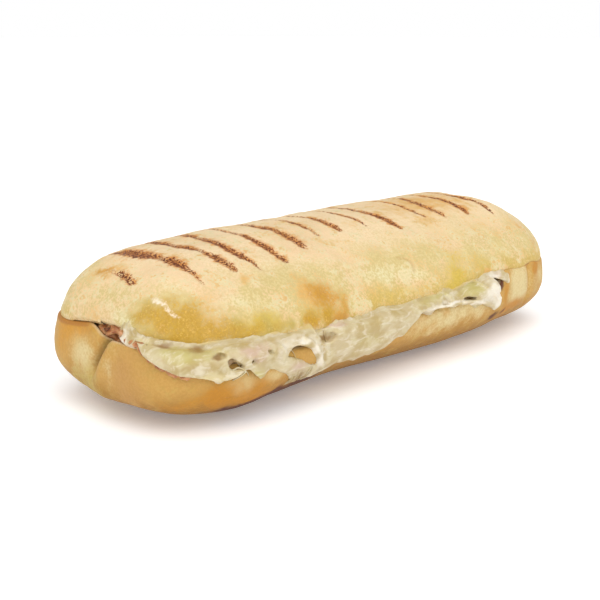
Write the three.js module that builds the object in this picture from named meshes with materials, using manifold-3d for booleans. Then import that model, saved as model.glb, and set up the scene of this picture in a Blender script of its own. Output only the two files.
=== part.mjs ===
// Pressed panini: a split roll with grill marks, two slices of ham and a layer of melted
// cheese that runs out over the front. X runs along the roll, -Y is the front, Z is up.
// Sizes are in millimetres and angles in degrees.

import * as THREE from 'three';
import { mergeVertices } from 'three/addons/utils/BufferGeometryUtils.js';
import Module from 'manifold-3d';

// The roll
const halfLength = 110;
const halfWidth = 46.2;
const widestLevel = 20.9;
const crownLevel = 56.5;
const hiddenDepth = 2.2; // how far the rounded underside would reach below the flat base
const widthTaper = 0.04; // the +X end is wider than the middle by this share
const planPower = 4.6; // how square the roll is seen from above
const sidePower = 2.0; // above the widest level, across the roll
const leftEndPower = 4.0; // above the widest level, at the two ends
const rightEndPower = 4.6;
const baseSidePower = 2.1; // below the widest level
const baseEndPower = 3.6;

// The cut between the two halves
const lipLevel = 31.2; // lower edge of the top half
const roofLevel = 29.8; // cut face of the top half
const floorLevel = 23.5; // cut face of the bottom half
const rimRadius = 1.6;
const closedGap = 0.55; // between the halves where they nearly touch
const slopeEnd = 8; // inset where the cut face of the bottom half gets level
const innerWay = -11; // ways are explained at bottomSkin
const closedWay = -8.4;
const openFront = [174, 300]; // directions seen from above, 0 is +X and 270 is the front
const openBack = [62, 135];

// The filling
const layerGap = 0.35;
const hamThickness = 1.0;
const hamInset = 2.6;
const cheeseThickness = 1.7; // where it hangs over the front
const cheeseEdgeThickness = 0.9;

// How far the upper ham slice and the cheese run out, as [direction, way]. A way below 0
// stops on the cut face, one above 0 goes round the rim and down the side.
const hamReach = [
  [172, closedWay], [176, -0.6], [198, -0.6], [202, 0.2], [205, 1.2], [208.5, 2.3], [212, 2.6],
  [216, 3], [219, 3.6], [223, 3.2], [228, 1.5], [233, -1],
];
const cheeseReach = [
  [188, closedWay], [192, -1], [205, 0.2], [208.5, 1.2], [212.5, 1.3], [216.5, 1.9], [221, 3.4],
  [225.4, 5.1], [228.3, 5.2], [230.4, 3.4], [232.6, 6.3], [235.9, 6.4], [238.6, 9.9],
  [240.6, 13.6], [242.3, 13.4], [244.8, 14.4], [247.9, 13.2], [251.8, 11.4], [256.1, 12.9],
  [261.7, 11.4], [265.8, 7], [270, 2], [275.2, 1.2], [280.3, 1], [285.3, 2.9], [289.1, 4.2],
  [292, 6], [294.5, 8.5], [296.5, 10.5], [298, 12.5], [299, 9], [300, closedWay],
];

// Openings in the hanging cheese: place along the roll, height, half sizes, turn, and the
// distance from the middle of the roll where they stop
const holes = [
  [-60.4, 20.6, 7.2, 4.1, -18, 38], [-94.4, 26.8, 2.6, 1.3, -25, 37], [-89.8, 23.9, 3.4, 1.4, -20, 37],
  [-80.1, 21.8, 1.5, 0.8, 10, 38], [-73.6, 24.4, 1.2, 0.7, 0, 41.5], [-77.3, 26.6, 1.1, 0.7, 0, 41],
  [33.5, 23.5, 5.4, 0.7, -3, 38],
];
// Piece missing at its right top corner, seen from the front: place along the roll, height
const missingCorner = [[52.5, 34], [52.8, 28], [54, 24], [57, 21], [61.5, 15], [68, 15], [68, 34]];
// Slits up into its lower edge: place, top, half width at the bottom
const slits = [[-52.4, 14.5, 1.1], [-45.8, 15.5, 1.0], [-69.5, 17, 0.9], [47, 18, 1.1]];

// Grill marks: place along the roll, reach to the back and to the front
const markDepth = 0.6;
const markHalfWidth = 1.9;
const marks = [
  [-100.6, 9, 10], [-88.4, 24, 27], [-75.7, 25, 27], [-63.0, 26, 27], [-50.3, 26, 27],
  [-37.6, 26, 26], [-24.8, 26, 21], [-12.1, 26, 22], [0.7, 26, 23], [13.6, 26, 26],
  [36.9, 26, 22], [49.7, 26, 24], [62.6, 26, 25], [79.0, 25, 26],
];

const wasm = await Module();
wasm.setup();

const degrees = Math.PI / 180;
const clamp = THREE.MathUtils.clamp;
const lerp = THREE.MathUtils.lerp;
const smooth = (from, to, v) => {
  const t = clamp((v - from) / (to - from), 0, 1);
  return t * t * (3 - 2 * t);
};
const bump = (v, centre, width) => Math.exp(-(((v - centre) / width) ** 2));

// Value at v of the broken line through [v, value] pairs, held at both ends
function alongLine(pairs, v) {
  if (v <= pairs[0][0]) return pairs[0][1];
  for (let i = 1; i < pairs.length; i++) {
    if (v <= pairs[i][0]) {
      const share = (v - pairs[i - 1][0]) / (pairs[i][0] - pairs[i - 1][0]);
      return lerp(pairs[i - 1][1], pairs[i][1], share);
    }
  }
  return pairs[pairs.length - 1][1];
}

// How much of its widest size the roll keeps at height z
function levelShare(z, above, below) {
  const up = z >= widestLevel;
  const t = up
    ? (z - widestLevel) / (crownLevel - widestLevel)
    : (widestLevel - z) / (widestLevel + hiddenDepth);
  const power = up ? above : below;
  return Math.max(0, 1 - clamp(t, 0, 1) ** power) ** (1 / power);
}

const levelHalfLength = (z, left) =>
  halfLength * levelShare(z, left ? leftEndPower : rightEndPower, baseEndPower);

// Half width of the roll at x and height z, before the rounding of its ends
function levelHalfWidth(x, z) {
  const taper = 1 + (widthTaper * x) / halfLength;
  const flatter = 0.25 * bump(x, -30, 26) + 0.12 * bump(x, 72, 14);
  const basePower = baseSidePower + 0.38 * smooth(-62, -80, x) - flatter;
  return halfWidth * taper * levelShare(z, sidePower, basePower);
}

// Outline of the roll at height z in the given direction
function outline(bearing, z) {
  const c = Math.cos(bearing * degrees);
  const s = Math.sin(bearing * degrees);
  const reach = (Math.abs(c) ** planPower + Math.abs(s) ** planPower) ** (-1 / planPower);
  const x = levelHalfLength(z, c < 0) * reach * c;
  return new THREE.Vector3(x, levelHalfWidth(x, z) * reach * s, z);
}

// Below 0 inside the plain roll, above 0 outside it
function outside(x, y, z) {
  const a = levelHalfLength(z, x < 0);
  const b = levelHalfWidth(x, z);
  if (z >= crownLevel || a < 0.01 || b < 0.01) return 1;
  return (Math.abs(x) / a) ** planPower + (Math.abs(y) / b) ** planPower - 1;
}

// 1 where the filling shows between the halves, 0 where they are closed. With a margin the
// open part starts later and ends earlier.
function openShare(bearing, margin = 0) {
  const start = openFront[0] + margin;
  const end = openFront[1] - margin;
  const front = smooth(start - 3, start + 3, bearing) * smooth(end + 1, end - 4, bearing);
  const [backStart, backEnd] = [openBack[0] + margin, openBack[1] - margin];
  const backFrom = smooth(backStart - 6, backStart + 6, bearing);
  const back = backFrom * smooth(backEnd + 6, backEnd - 6, bearing);
  return Math.max(front, back);
}

// How far the lower edge of the top half hangs down at the front
function sagAt(x, y) {
  const leftSags = 1.3 * bump(x, -97, 6) + 2.2 * bump(x, -46, 9);
  const sags = leftSags + 3.2 * bump(x, 23.5, 7) + 1.2 * bump(x, 39, 6);
  return sags * smooth(-20, -34, y);
}

// Lower edge of the top half
function lipAt(x, y) {
  const ends = 1.2 * smooth(-96, -106, x) - 1.2 * smooth(80, 96, x);
  const slit = 2.4 * bump(y, -3, 15) * smooth(-100, -108, x);
  const wave = 0.35 * Math.sin(0.31 * x + 0.9) + 0.25 * Math.sin(0.17 * x - 0.11 * y);
  return lipLevel + ends + slit + wave - sagAt(x, y);
}

// Upper edge of the bottom half
function rimAt(bearing) {
  const p = outline(bearing, widestLevel);
  const closed = lipAt(p.x, p.y) - 1.5 - closedGap;
  const slitFloor = 5.6 * smooth(219, 206, bearing) * smooth(164, 176, bearing);
  return lerp(closed, floorLevel + slitFloor, openShare(bearing));
}

// Unevenness of the bottom half, outward
function bottomRelief(x, y, z) {
  const leftEnd = smooth(-100, -107, x);
  const rightFront = smooth(-30, -38, y);
  const creaseLine = alongLine([[14, 4], [19, 2], [28, -4]], z);
  const endBulge = 1.3 * smooth(-92, -106, x) * bump(z, 21, 9);
  const frontLobe = 1.1 * leftEnd * smooth(creaseLine + 1, creaseLine - 5, y) * bump(z, 18, 11);
  const crease = 1.7 * leftEnd * bump(y, creaseLine, 2.8) * smooth(12, 20, z);
  const sideCrease = 1.3 * rightFront * bump(x, 80, 2) * smooth(9, 17, z);
  const corner = leftEnd * (2.8 * bump(y, 0, 13) - 1.2 * bump(y, 27, 8)) * bump(z, 7, 6);
  const hollow = 2.2 * bump(x, -28, 36) * bump(z, 8, 9) * smooth(0, -20, y);
  const dough = 0.35 * Math.sin(0.09 * x + 0.07 * y + 0.5) * smooth(0, 6, z);
  return endBulge + frontLobe - crease - sideCrease + corner - hollow + dough;
}

// Unevenness of the top half, outward
function crownRelief(x, y, z) {
  const leftEnd = smooth(-92, -106, x);
  const tuck = 1.3 * leftEnd * bump(z, 36, 6);
  const shoulder = 1.2 * smooth(84, 100, x) * bump(z, 48, 8);
  const crown = (1.1 * bump(x, -93, 14) + 0.9 * bump(x, 78, 13)) * smooth(44, 50, z);
  const blister = 0.8 * bump(x, -92, 14) * bump(z, 39, 8) * smooth(-20, -28, y);
  const dough = 0.4 * Math.sin(0.075 * x - 0.4) * Math.cos(0.06 * y + 0.08 * z);
  return crown + blister + dough - tuck - shoulder;
}

// Groove of a grill mark, inward
function markRelief(x, y) {
  for (const [place, back, front] of marks) {
    const across = 1 - Math.abs(x - place) / markHalfWidth;
    if (across > 0) {
      return markDepth * across * smooth(-front - 3, -front + 3, y) * smooth(back + 3, back - 3, y);
    }
  }
  return 0;
}

// Outer skin of the bottom half. way counts from the top of the rim: below 0 it is the
// distance inward over the cut face, above 0 it runs round the rim and down the side.
function bottomSkin(bearing, way) {
  const rim = rimAt(bearing);
  const quarter = (Math.PI / 2) * rimRadius;
  if (way >= quarter) {
    const z = Math.max(0, rim - rimRadius - (way - quarter));
    return insetPoint(bearing, z, 0);
  }
  if (way >= 0) {
    const turn = way / rimRadius;
    const p = insetPoint(bearing, rim - rimRadius, rimRadius * (1 - Math.sin(turn)));
    p.z += rimRadius * Math.cos(turn);
    return p;
  }
  const inset = rimRadius - way;
  const p = insetPoint(bearing, rim - rimRadius, inset);
  p.z = alongLine([[rimRadius, rim], [slopeEnd, floorLevel]], inset);
  return p;
}

// Point of the outline at height z, moved level inward by inset
function insetPoint(bearing, z, inset) {
  const p = outline(bearing, z);
  const after = outline(bearing + 0.5, z);
  const before = outline(bearing - 0.5, z);
  const inward = new THREE.Vector3(before.y - after.y, after.x - before.x, 0).normalize();
  return p.addScaledVector(inward, inset - bottomRelief(p.x, p.y, z));
}

// Point at height gap over the skin of the bottom half
function draped(bearing, way, gap) {
  const p = bottomSkin(bearing, way);
  const alongRim = bottomSkin(bearing + 1, way).sub(bottomSkin(bearing - 1, way));
  const alongWay = bottomSkin(bearing, way + 0.3).sub(bottomSkin(bearing, way - 0.3));
  const out = alongWay.cross(alongRim).normalize();
  return p.addScaledVector(out, gap);
}

// Closed solid through rings of equal length, with level caps on the first and last ring.
// Point 0 of a ring is at its +X end and point turn at its -X end.
function solidFromRings(rings, turn) {
  const count = rings[0].length;
  const positions = rings.flatMap((ring) => ring.flatMap((p) => [p.x, p.y, p.z]));
  const faces = [];
  for (let r = 0; r + 1 < rings.length; r++) {
    for (let i = 0; i < count; i++) {
      const a = r * count + i;
      const b = r * count + ((i + 1) % count);
      quad(faces, a, b, b + count, a + count, (i + r) % 2 === 0);
    }
  }
  fillRing(positions, faces, 0, count, turn, false);
  fillRing(positions, faces, (rings.length - 1) * count, count, turn, true);
  return closedGeometry(positions, faces);
}

function quad(faces, a, b, c, d, flip) {
  if (flip) faces.push(a, b, c, a, c, d);
  else faces.push(a, b, d, b, c, d);
}

// Fills a level ring, point 0 at one end and point turn at the other, by going along both
// sides at once
function fillRing(positions, faces, start, count, turn, up) {
  const near = Array.from({ length: turn + 1 }, (_, i) => start + i);
  const far = Array.from({ length: count - turn + 1 }, (_, i) => start + ((count - i) % count));
  const travel = (i) => Math.abs(positions[3 * i] - positions[3 * start]);
  const put = (a, b, c) => (up ? faces.push(a, b, c) : faces.push(a, c, b));
  let n = 0;
  let f = 0;
  while (n < turn || f < count - turn) {
    const farDone = f === count - turn;
    const stepNear = farDone || (n < turn && travel(near[n + 1]) <= travel(far[f + 1]));
    const next = stepNear ? near[n + 1] : far[f + 1];
    if (near[n] !== far[f] && near[n] !== next && next !== far[f]) put(near[n], next, far[f]);
    if (stepNear) n++;
    else f++;
  }
}

function closedGeometry(positions, faces) {
  const geometry = new THREE.BufferGeometry();
  geometry.setAttribute('position', new THREE.Float32BufferAttribute(positions, 3));
  const facesOut = enclosedVolume(positions, faces) > 0 ? faces : faces.slice().reverse();
  geometry.setIndex(facesOut);
  geometry.computeVertexNormals();
  return geometry;
}

function enclosedVolume(positions, faces) {
  const corner = (i) => new THREE.Vector3().fromArray(positions, 3 * i);
  let sum = 0;
  for (let i = 0; i < faces.length; i += 3) {
    sum += corner(faces[i]).dot(corner(faces[i + 1]).cross(corner(faces[i + 2])));
  }
  return sum / 6;
}

function toSolid(geometry) {
  const bare = new THREE.BufferGeometry();
  bare.setAttribute('position', geometry.getAttribute('position'));
  bare.setIndex(geometry.index);
  const merged = mergeVertices(bare, 1e-4);
  return new wasm.Manifold(new wasm.Mesh({
    numProp: 3,
    vertProperties: merged.getAttribute('position').array,
    triVerts: new Uint32Array(merged.index.array),
  }));
}

function fromSolid(solid) {
  const mesh = solid.getMesh();
  const geometry = new THREE.BufferGeometry();
  geometry.setAttribute('position', new THREE.BufferAttribute(mesh.vertProperties, mesh.numProp));
  geometry.setIndex(new THREE.BufferAttribute(mesh.triVerts, 1));
  geometry.computeVertexNormals();
  return geometry;
}

// Directions around the roll from 0 to 360, from spans of [from, to, count]
function directions(spans) {
  return spans.flatMap(([from, to, count]) =>
    Array.from({ length: count }, (_, i) => from + ((to - from) * i) / count));
}

// Where the halves start to open all pieces are divided alike, so that their faces stay apart
const openings = [[56, 68, 4], [129, 141, 4], [171, 177, 3], [198, 220, 10], [296, 304, 8]];

function aroundRoll(spans) {
  return directions([...openings, ...spans].sort((a, b) => a[0] - b[0]));
}

// Stations along the roll for the top half: denser at the ends, three for each mark
function crownStations() {
  const ends = [
    -109.5, -108.9, -107.9, -106.4, -104.4, -95.5,
    88, 93, 97.5, 101.2, 104, 106.2, 107.9, 109, 109.6,
  ];
  const between = [
    -94.5, -82, -69.3, -56.6, -46, -43.5, -41, -31.2, -18.4, -5.7,
    7.1, 18.5, 22, 25.5, 30, 43.3, 56.1, 70.8, 84,
  ];
  const onMarks = marks.flatMap(([x]) => [x - markHalfWidth, x, x + markHalfWidth]);
  return [...ends, ...between, ...onMarks].sort((a, b) => a - b);
}

// Half width of the plain roll at x and height z
function halfWidthAt(x, z) {
  const share = 1 - (Math.abs(x) / levelHalfLength(z, x < 0)) ** planPower;
  return levelHalfWidth(x, z) * Math.max(share, 0) ** (1 / planPower);
}

// One cross-section of the top half, from the front lip over the crown to the back lip
function crownSection(x, count) {
  const centre = 33.5;
  let top = crownLevel;
  while (levelHalfLength(top, x < 0) < Math.abs(x)) top -= 0.02;
  return Array.from({ length: count + 1 }, (_, i) => {
    const across = -Math.cos((Math.PI * i) / count);
    const up = Math.sin((Math.PI * i) / count);
    const side = i < count / 2 ? -1 : 1;
    const lip = lipAt(x, side * halfWidthAt(x, centre));
    const rise = up * (top - centre) + Math.abs(across) ** 3 * (lip - centre);
    return castToSkin(x, centre, new THREE.Vector2(across * halfWidthAt(x, lip), rise));
  });
}

function castToSkin(x, centre, ray) {
  let near = 0;
  let far = 3;
  for (let step = 0; step < 30; step++) {
    const middle = (near + far) / 2;
    if (outside(x, ray.x * middle, centre + ray.y * middle) < 0) near = middle;
    else far = middle;
  }
  const y = ray.x * near;
  const z = centre + ray.y * near;
  const length = Math.hypot(y, z - centre) || 1;
  const rise = crownRelief(x, y, z) - markRelief(x, y) * smooth(38, 46, z);
  const scale = 1 + (rise * smooth(0, 12, length)) / length;
  return new THREE.Vector3(x, y * scale, centre + (z - centre) * scale);
}

// Top half: sections over the crown, a rounded lip and the hollowed cut face
function buildTopBun() {
  const count = 24;
  const sections = crownStations().map((x) => crownSection(x, count));
  const last = sections.length - 1;
  const leftTip = new THREE.Vector3(-109.75, 0, lipAt(-109.75, 0));
  const rightTip = new THREE.Vector3(109.8, 0, lipAt(109.8, 0));
  const positions = [leftTip, rightTip, ...sections.flat()].flatMap((p) => [p.x, p.y, p.z]);
  const at = (s, i) => 2 + s * (count + 1) + i;
  const faces = [];
  for (let s = 0; s < last; s++) {
    for (let i = 0; i < count; i++) {
      quad(faces, at(s, i), at(s + 1, i), at(s + 1, i + 1), at(s, i + 1), i < count / 2);
    }
  }
  for (let i = 0; i < count; i++) {
    faces.push(0, at(0, i), at(0, i + 1));
    faces.push(1, at(last, i + 1), at(last, i));
  }
  const front = sections.map((_, s) => at(s, 0));
  const back = sections.map((_, s) => at(s, count)).reverse();
  addCutFace(positions, faces, [0, ...front, 1, ...back]);
  return closedGeometry(positions, faces);
}

function addCutFace(positions, faces, lip) {
  const points = lip.map((i) => new THREE.Vector3().fromArray(positions, 3 * i));
  const count = lip.length;
  const insets = [[0.6, 0.9, 0], [2.2, 1.5, 0], [7, 1.5, 0.7], [12, 1.5, 1]];
  let ring = lip;
  for (const [inset, drop, level] of insets) {
    const start = positions.length / 3;
    points.forEach((p, i) => {
      const before = points[(i + count - 1) % count];
      const after = points[(i + 1) % count];
      const inward = new THREE.Vector2(before.y - after.y, after.x - before.x).normalize();
      const z = lerp(lipAt(p.x, p.y) - drop, roofLevel, level);
      positions.push(p.x + inward.x * inset, p.y + inward.y * inset, z);
    });
    for (let i = 0; i < count; i++) {
      const j = (i + 1) % count;
      faces.push(ring[i], start + i, start + j, ring[i], start + j, ring[j]);
    }
    ring = lip.map((_, i) => start + i);
  }
  fillRing(positions, faces, ring[0], count, lip.indexOf(1), false);
}

// Bottom half: flat base, round side, rim and cut face
function buildBottomBun() {
  const around = aroundRoll([
    [0, 40, 9], [40, 56, 5], [68, 129, 12], [141, 171, 8], [177, 180, 2], [180, 188, 6],
    [188, 198, 3], [220, 240, 6], [240, 296, 13], [304, 320, 5], [320, 360, 9],
  ]);
  const heights = [0, 0.055, 0.17, 0.34, 0.54, 0.7, 0.86];
  const ringAt = (place) => around.map(place);
  const quarter = (Math.PI / 2) * rimRadius;
  const wayAt = (b, share) => quarter + (rimAt(b) - rimRadius) * (1 - share);
  const rings = [
    ...heights.map((share) => ringAt((b) => bottomSkin(b, wayAt(b, share)))),
    ...[quarter, quarter / 2, 0, rimRadius - slopeEnd].map((w) => ringAt((b) => bottomSkin(b, w))),
  ];
  return solidFromRings(rings, around.indexOf(180));
}

// Way of step k from the middle out to edge. rimWays are places near the rim and sideShares
// are shares of the rest. Steps that have no room crowd together at the edge.
function wayOfStep(k, edge, rimWays, sideShares) {
  const last = rimWays.length + sideShares.length - 1;
  const lastRim = rimWays[rimWays.length - 1];
  const way = k < rimWays.length ? rimWays[k] : lerp(lastRim, edge, sideShares[k - rimWays.length]);
  return k === 0 ? innerWay : Math.min(way, edge - 0.15 * (last - k));
}

// Rings of one face of a layer, from the middle out to the edge
function layerRings(around, edgeAt, gapAt, rimWays, sideShares) {
  const steps = Array.from({ length: rimWays.length + sideShares.length }, (_, k) => k);
  return steps.map((k) => around.map((bearing) => {
    const way = wayOfStep(k, edgeAt(bearing), rimWays, sideShares);
    return draped(bearing, way, gapAt(bearing, way, k === steps.length - 1));
  }));
}

// Edge of a ham slice that stays between the halves
function hamEdge(bearing) {
  const p = outline(bearing, widestLevel);
  const wave = 0.5 * Math.sin(bearing * 0.31) + 0.3 * Math.sin(bearing * 0.73 + 1);
  const way = rimRadius - hamInset - wave - 1.2 * sagAt(p.x, p.y);
  if (bearing > 170 && bearing < 240) {
    return Math.min(way, alongLine(hamReach, Math.min(bearing, 198)) - 1.3 * smooth(198, 203, bearing));
  }
  return lerp(closedWay, way, openShare(bearing, 8));
}

// The upper slice also hangs out at the left front corner
function upperHamEdge(bearing) {
  return bearing > 172 && bearing < 233 ? alongLine(hamReach, bearing) : hamEdge(bearing);
}

// Height of a layer over the bottom half as it comes round the rim down onto the side
function roundRim(inner, side, way) {
  const atTop = lerp(side, inner, 0.68);
  const beyond = lerp(side, inner, 0.3);
  return alongLine([[-1, inner], [0, atTop], [0.8, beyond], [1.7, side]], way);
}

// Height of a ham slice over the bottom half: the upper one comes down onto the side
function hamGap(level, bearing, way) {
  return roundRim(layerGap + level * (layerGap + hamThickness), layerGap, way);
}

function buildHam(level, edgeAt) {
  const around = aroundRoll([
    [0, 56, 3], [68, 129, 9], [141, 171, 3], [177, 180, 1], [180, 198, 4],
    [220, 234, 5], [234, 296, 10], [304, 360, 3],
  ]);
  const under = (b, way) => hamGap(level, b, way);
  const over = (b, way, atEdge) => hamGap(level, b, way) + (atEdge ? 0.8 : 1) * hamThickness;
  const ways = level === 0 ? [innerWay, -6.4] : [innerWay, -6.4, -0.4, 0.9];
  const rings = [
    ...layerRings(around, edgeAt, under, ways, [1]),
    ...layerRings(around, edgeAt, over, ways, [1]).reverse(),
  ];
  return solidFromRings(rings, around.indexOf(180));
}

// Edge of the cheese: far down the front, a little way down the back
function cheeseEdge(bearing) {
  const fringe = 0.6 * Math.sin(bearing * 0.9) + 0.5 * Math.sin(bearing * 1.7 + 2);
  const fringed = smooth(219, 224, bearing) * smooth(296, 292, bearing);
  const front = alongLine(cheeseReach, bearing) + fringe * fringed;
  const drip = 2.8 + 1.6 * Math.sin(bearing * 0.4) + fringe;
  const back = lerp(closedWay, drip, openShare(bearing, 8));
  return bearing < 172 ? back : front;
}

// Underside of the top half at the given inset from its outline
function roofAt(x, y, inset) {
  const lip = lipAt(x, y);
  const low = lip - 1.5;
  const risen = lerp(low, roofLevel, 0.7);
  return alongLine([[0.6, lip - 0.9], [2.2, low], [7, risen], [12, roofLevel]], inset);
}

function cheeseUnder(bearing, way) {
  const flap = smooth(197, 201, bearing) * smooth(236, 232, bearing);
  const overHam = layerGap + 2 * (layerGap + hamThickness);
  const inner = lerp(layerGap, overHam, Math.max(openShare(bearing, 6), smooth(-1.5, -6, way)));
  const side = layerGap + 1.3 * flap + 0.05 * Math.max(0, way - 2);
  return roundRim(inner, side, way);
}

function cheeseOver(bearing, way, atEdge) {
  const p = outline(bearing, widestLevel);
  const skin = bottomSkin(bearing, Math.min(way, 0));
  const filled = roofAt(p.x, p.y, rimRadius - Math.min(way, 0)) - 1.5 * layerGap - skin.z;
  const under = cheeseUnder(bearing, way);
  const hanging = under + cheeseThickness + 0.3 * Math.sin(bearing * 0.55 + 0.5 * way);
  const over = lerp(filled, hanging, smooth(0, 2.6, way));
  if (!atEdge) return over;
  const thin = under + cheeseEdgeThickness;
  return Math.min(over, thin + 0.5 * (over - thin) * smooth(4, 0, way));
}

const shapeOf = (points) => new THREE.Shape(points.map((p) => new THREE.Vector2(...p)));

// Solid that runs from behind the roll's front to well before it, with the given section
function cutter(section, x, z, stop) {
  const settings = { depth: 20, bevelEnabled: false, curveSegments: 7 };
  const geometry = new THREE.ExtrudeGeometry(section, settings);
  geometry.rotateX(Math.PI / 2);
  geometry.translate(x, -stop, z);
  return toSolid(geometry);
}

function buildCheese() {
  const around = aroundRoll([
    [0, 56, 3], [68, 129, 18], [141, 171, 2], [177, 180, 1], [180, 186, 1], [186, 198, 7],
    [220, 250, 24], [250, 282, 14], [282, 296, 10], [304, 360, 3],
  ]);
  const underWays = [innerWay, -6.4, -1, 0.8, 2.6];
  const overWays = [innerWay, -5.4, -0.6, 0.8, 1.7, 2.6];
  const rings = [
    ...layerRings(around, cheeseEdge, cheeseUnder, underWays, [0.5, 1]),
    ...layerRings(around, cheeseEdge, cheeseOver, overWays, [0.35, 0.7, 1]).reverse(),
  ];
  let cheese = toSolid(solidFromRings(rings, around.indexOf(180)));
  for (const [x, z, halfX, halfZ, turn, stop] of holes) {
    const oval = new THREE.Shape().absellipse(0, 0, halfX, halfZ, 0, 2 * Math.PI, false, turn * degrees);
    cheese = cheese.subtract(cutter(oval, x, z, stop));
  }
  cheese = cheese.subtract(cutter(shapeOf(missingCorner), 0, 0, 38));
  for (const [x, top, half] of slits) {
    const wedge = shapeOf([[-half, -14], [half, -14], [0.2, 0], [-0.2, 0]]);
    cheese = cheese.subtract(cutter(wedge, x, top, 34));
  }
  return fromSolid(cheese);
}

const crust = new THREE.MeshStandardMaterial({ color: 0xe9c78b, roughness: 0.72, metalness: 0 });
const lowerCrust = new THREE.MeshStandardMaterial({ color: 0xd9a75c, roughness: 0.7, metalness: 0 });
const hamMeat = new THREE.MeshStandardMaterial({ color: 0xd99a86, roughness: 0.55, metalness: 0 });
const meltedCheese = new THREE.MeshStandardMaterial({ color: 0xf0e6c4, roughness: 0.4, metalness: 0 });

function named(name, geometry, material) {
  const mesh = new THREE.Mesh(geometry, material);
  mesh.name = name;
  return mesh;
}

const panini = new THREE.Group();
panini.add(named('bun_bottom', buildBottomBun(), lowerCrust));
panini.add(named('ham_lower', buildHam(0, hamEdge), hamMeat));
panini.add(named('ham_upper', buildHam(1, upperHamEdge), hamMeat));
panini.add(named('cheese_melted', buildCheese(), meltedCheese));
panini.add(named('bun_top', buildTopBun(), crust));

export default panini;
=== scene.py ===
import math
import random

import bpy
import numpy as np
from mathutils import Matrix, Vector, noise
from mathutils.bvhtree import BVHTree


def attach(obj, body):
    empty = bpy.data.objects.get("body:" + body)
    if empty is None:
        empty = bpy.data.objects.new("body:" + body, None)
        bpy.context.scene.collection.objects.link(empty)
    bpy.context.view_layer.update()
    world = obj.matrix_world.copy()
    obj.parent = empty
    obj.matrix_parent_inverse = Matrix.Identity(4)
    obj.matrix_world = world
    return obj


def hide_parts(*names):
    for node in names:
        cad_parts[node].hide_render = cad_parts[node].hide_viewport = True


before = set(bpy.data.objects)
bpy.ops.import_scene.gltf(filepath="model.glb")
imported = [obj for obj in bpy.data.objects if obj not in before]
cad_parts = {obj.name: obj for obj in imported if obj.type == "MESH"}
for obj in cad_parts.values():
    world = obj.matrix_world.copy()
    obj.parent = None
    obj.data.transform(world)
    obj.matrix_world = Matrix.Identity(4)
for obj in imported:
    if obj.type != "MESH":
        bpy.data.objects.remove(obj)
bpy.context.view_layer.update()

scene = bpy.context.scene

# sizes of the roll, in millimetres; directions in degrees, 0 is +X and 270 is the front
roll = {
    "halfLength": 110, "halfWidth": 46.2, "widestLevel": 20.9, "crownLevel": 56.5,
    "hiddenDepth": 2.2, "widthTaper": 0.04, "planPower": 4.6, "sidePower": 2.0,
    "leftEndPower": 4.0, "rightEndPower": 4.6, "baseSidePower": 2.1, "baseEndPower": 3.6,
}
foldLine = [(8, 4.5), (14, 4), (19, 2), (28, -4)]    # the fold at the left end: level, place across
cut = {
    "lipLevel": 31.2, "roofLevel": 29.8, "floorLevel": 23.5, "rimRadius": 1.6,
    "closedGap": 0.55, "slopeEnd": 8, "innerWay": -11, "closedWay": -8.4,
    "openFront": (174, 300), "openBack": (62, 135),
}
filling = {"gap": 0.35, "ham": 1.0, "hamInset": 2.6}
# where the lip of the top half sags over the filling: depth, place along the roll, width
lipSags = [(1.3, -97, 6), (1.0, -78, 9), (3.4, -54, 13), (3.2, 23.5, 7), (1.2, 39, 6)]
widest, closed = roll["widestLevel"], cut["closedWay"]
# how far layers reach out over the rim of the bottom half, by direction; below 0 they stay inside
hamReach = [
    (169, closed), (172, -0.3), (198, 0.1), (202, 0.3), (205, 1.2), (208.5, 2.3), (212, 2.6), (216, 3),
    (219, 3.6), (222, 3), (225, 1), (228, -1), (233, -2),
]
cheeseReach = [
    (188, closed), (192, -1), (205, 0.2), (208.5, 1.2), (212.5, 1.3), (216.5, 1.9), (221, 3.4),
    (225.4, 5.1), (228.3, 5.2), (230.4, 3.4), (232.6, 6.3), (235.9, 6.4), (238.6, 9.9), (240.6, 13.6),
    (242.3, 13.4), (244.8, 14.4), (247.9, 13.2), (251.8, 11.4), (256.1, 12.9), (261.7, 11.4), (265.8, 7),
    (270, 2), (275.2, 1.2), (280.3, 1), (285.3, 2.9), (289.1, 4.2), (292, 6), (294.5, 8.5), (296.5, 10.5),
    (298, 12.5), (299, 9), (300, closed),
]


# plain maths on arrays
def smoothStep(start, end, v):
    t = np.clip((v - start) / (end - start), 0, 1)
    return t * t * (3 - 2 * t)


# 1 between a rise and a fall, 0 outside them
def between(riseStart, riseEnd, fallStart, fallEnd, v):
    return smoothStep(riseStart, riseEnd, v) * smoothStep(fallEnd, fallStart, v)


def bump(v, centre, width):
    return np.exp(-(((v - centre) / width) ** 2))


def alongLine(pairs, v):
    total = pairs[0][1] + 0 * v
    for (x0, y0), (x1, y1) in zip(pairs, pairs[1:]):
        total = total + np.clip((v - x0) / (x1 - x0), 0, 1) * (y1 - y0)
    return total


def mixed(a, b, share):
    return a + (b - a) * share


# Share of the full length or width that is left at a level
def levelShare(z, above, below):
    up = z >= widest
    t = np.where(up, (z - widest) / (roll["crownLevel"] - widest),
                 (widest - z) / (widest + roll["hiddenDepth"]))
    power = np.where(up, above, below)
    return np.maximum(0, 1 - np.clip(t, 0, 1) ** power) ** (1 / power)


def levelHalfLength(z, left):
    above = np.where(left, roll["leftEndPower"], roll["rightEndPower"])
    return roll["halfLength"] * levelShare(z, above, roll["baseEndPower"])


def levelHalfWidth(x, z):
    taper = 1 + roll["widthTaper"] * x / roll["halfLength"]
    flatter = 0.25 * bump(x, -30, 26) + 0.12 * bump(x, 72, 14)
    basePower = roll["baseSidePower"] + 0.38 * smoothStep(-62, -80, x) - flatter
    return roll["halfWidth"] * taper * levelShare(z, roll["sidePower"], basePower)


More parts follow.
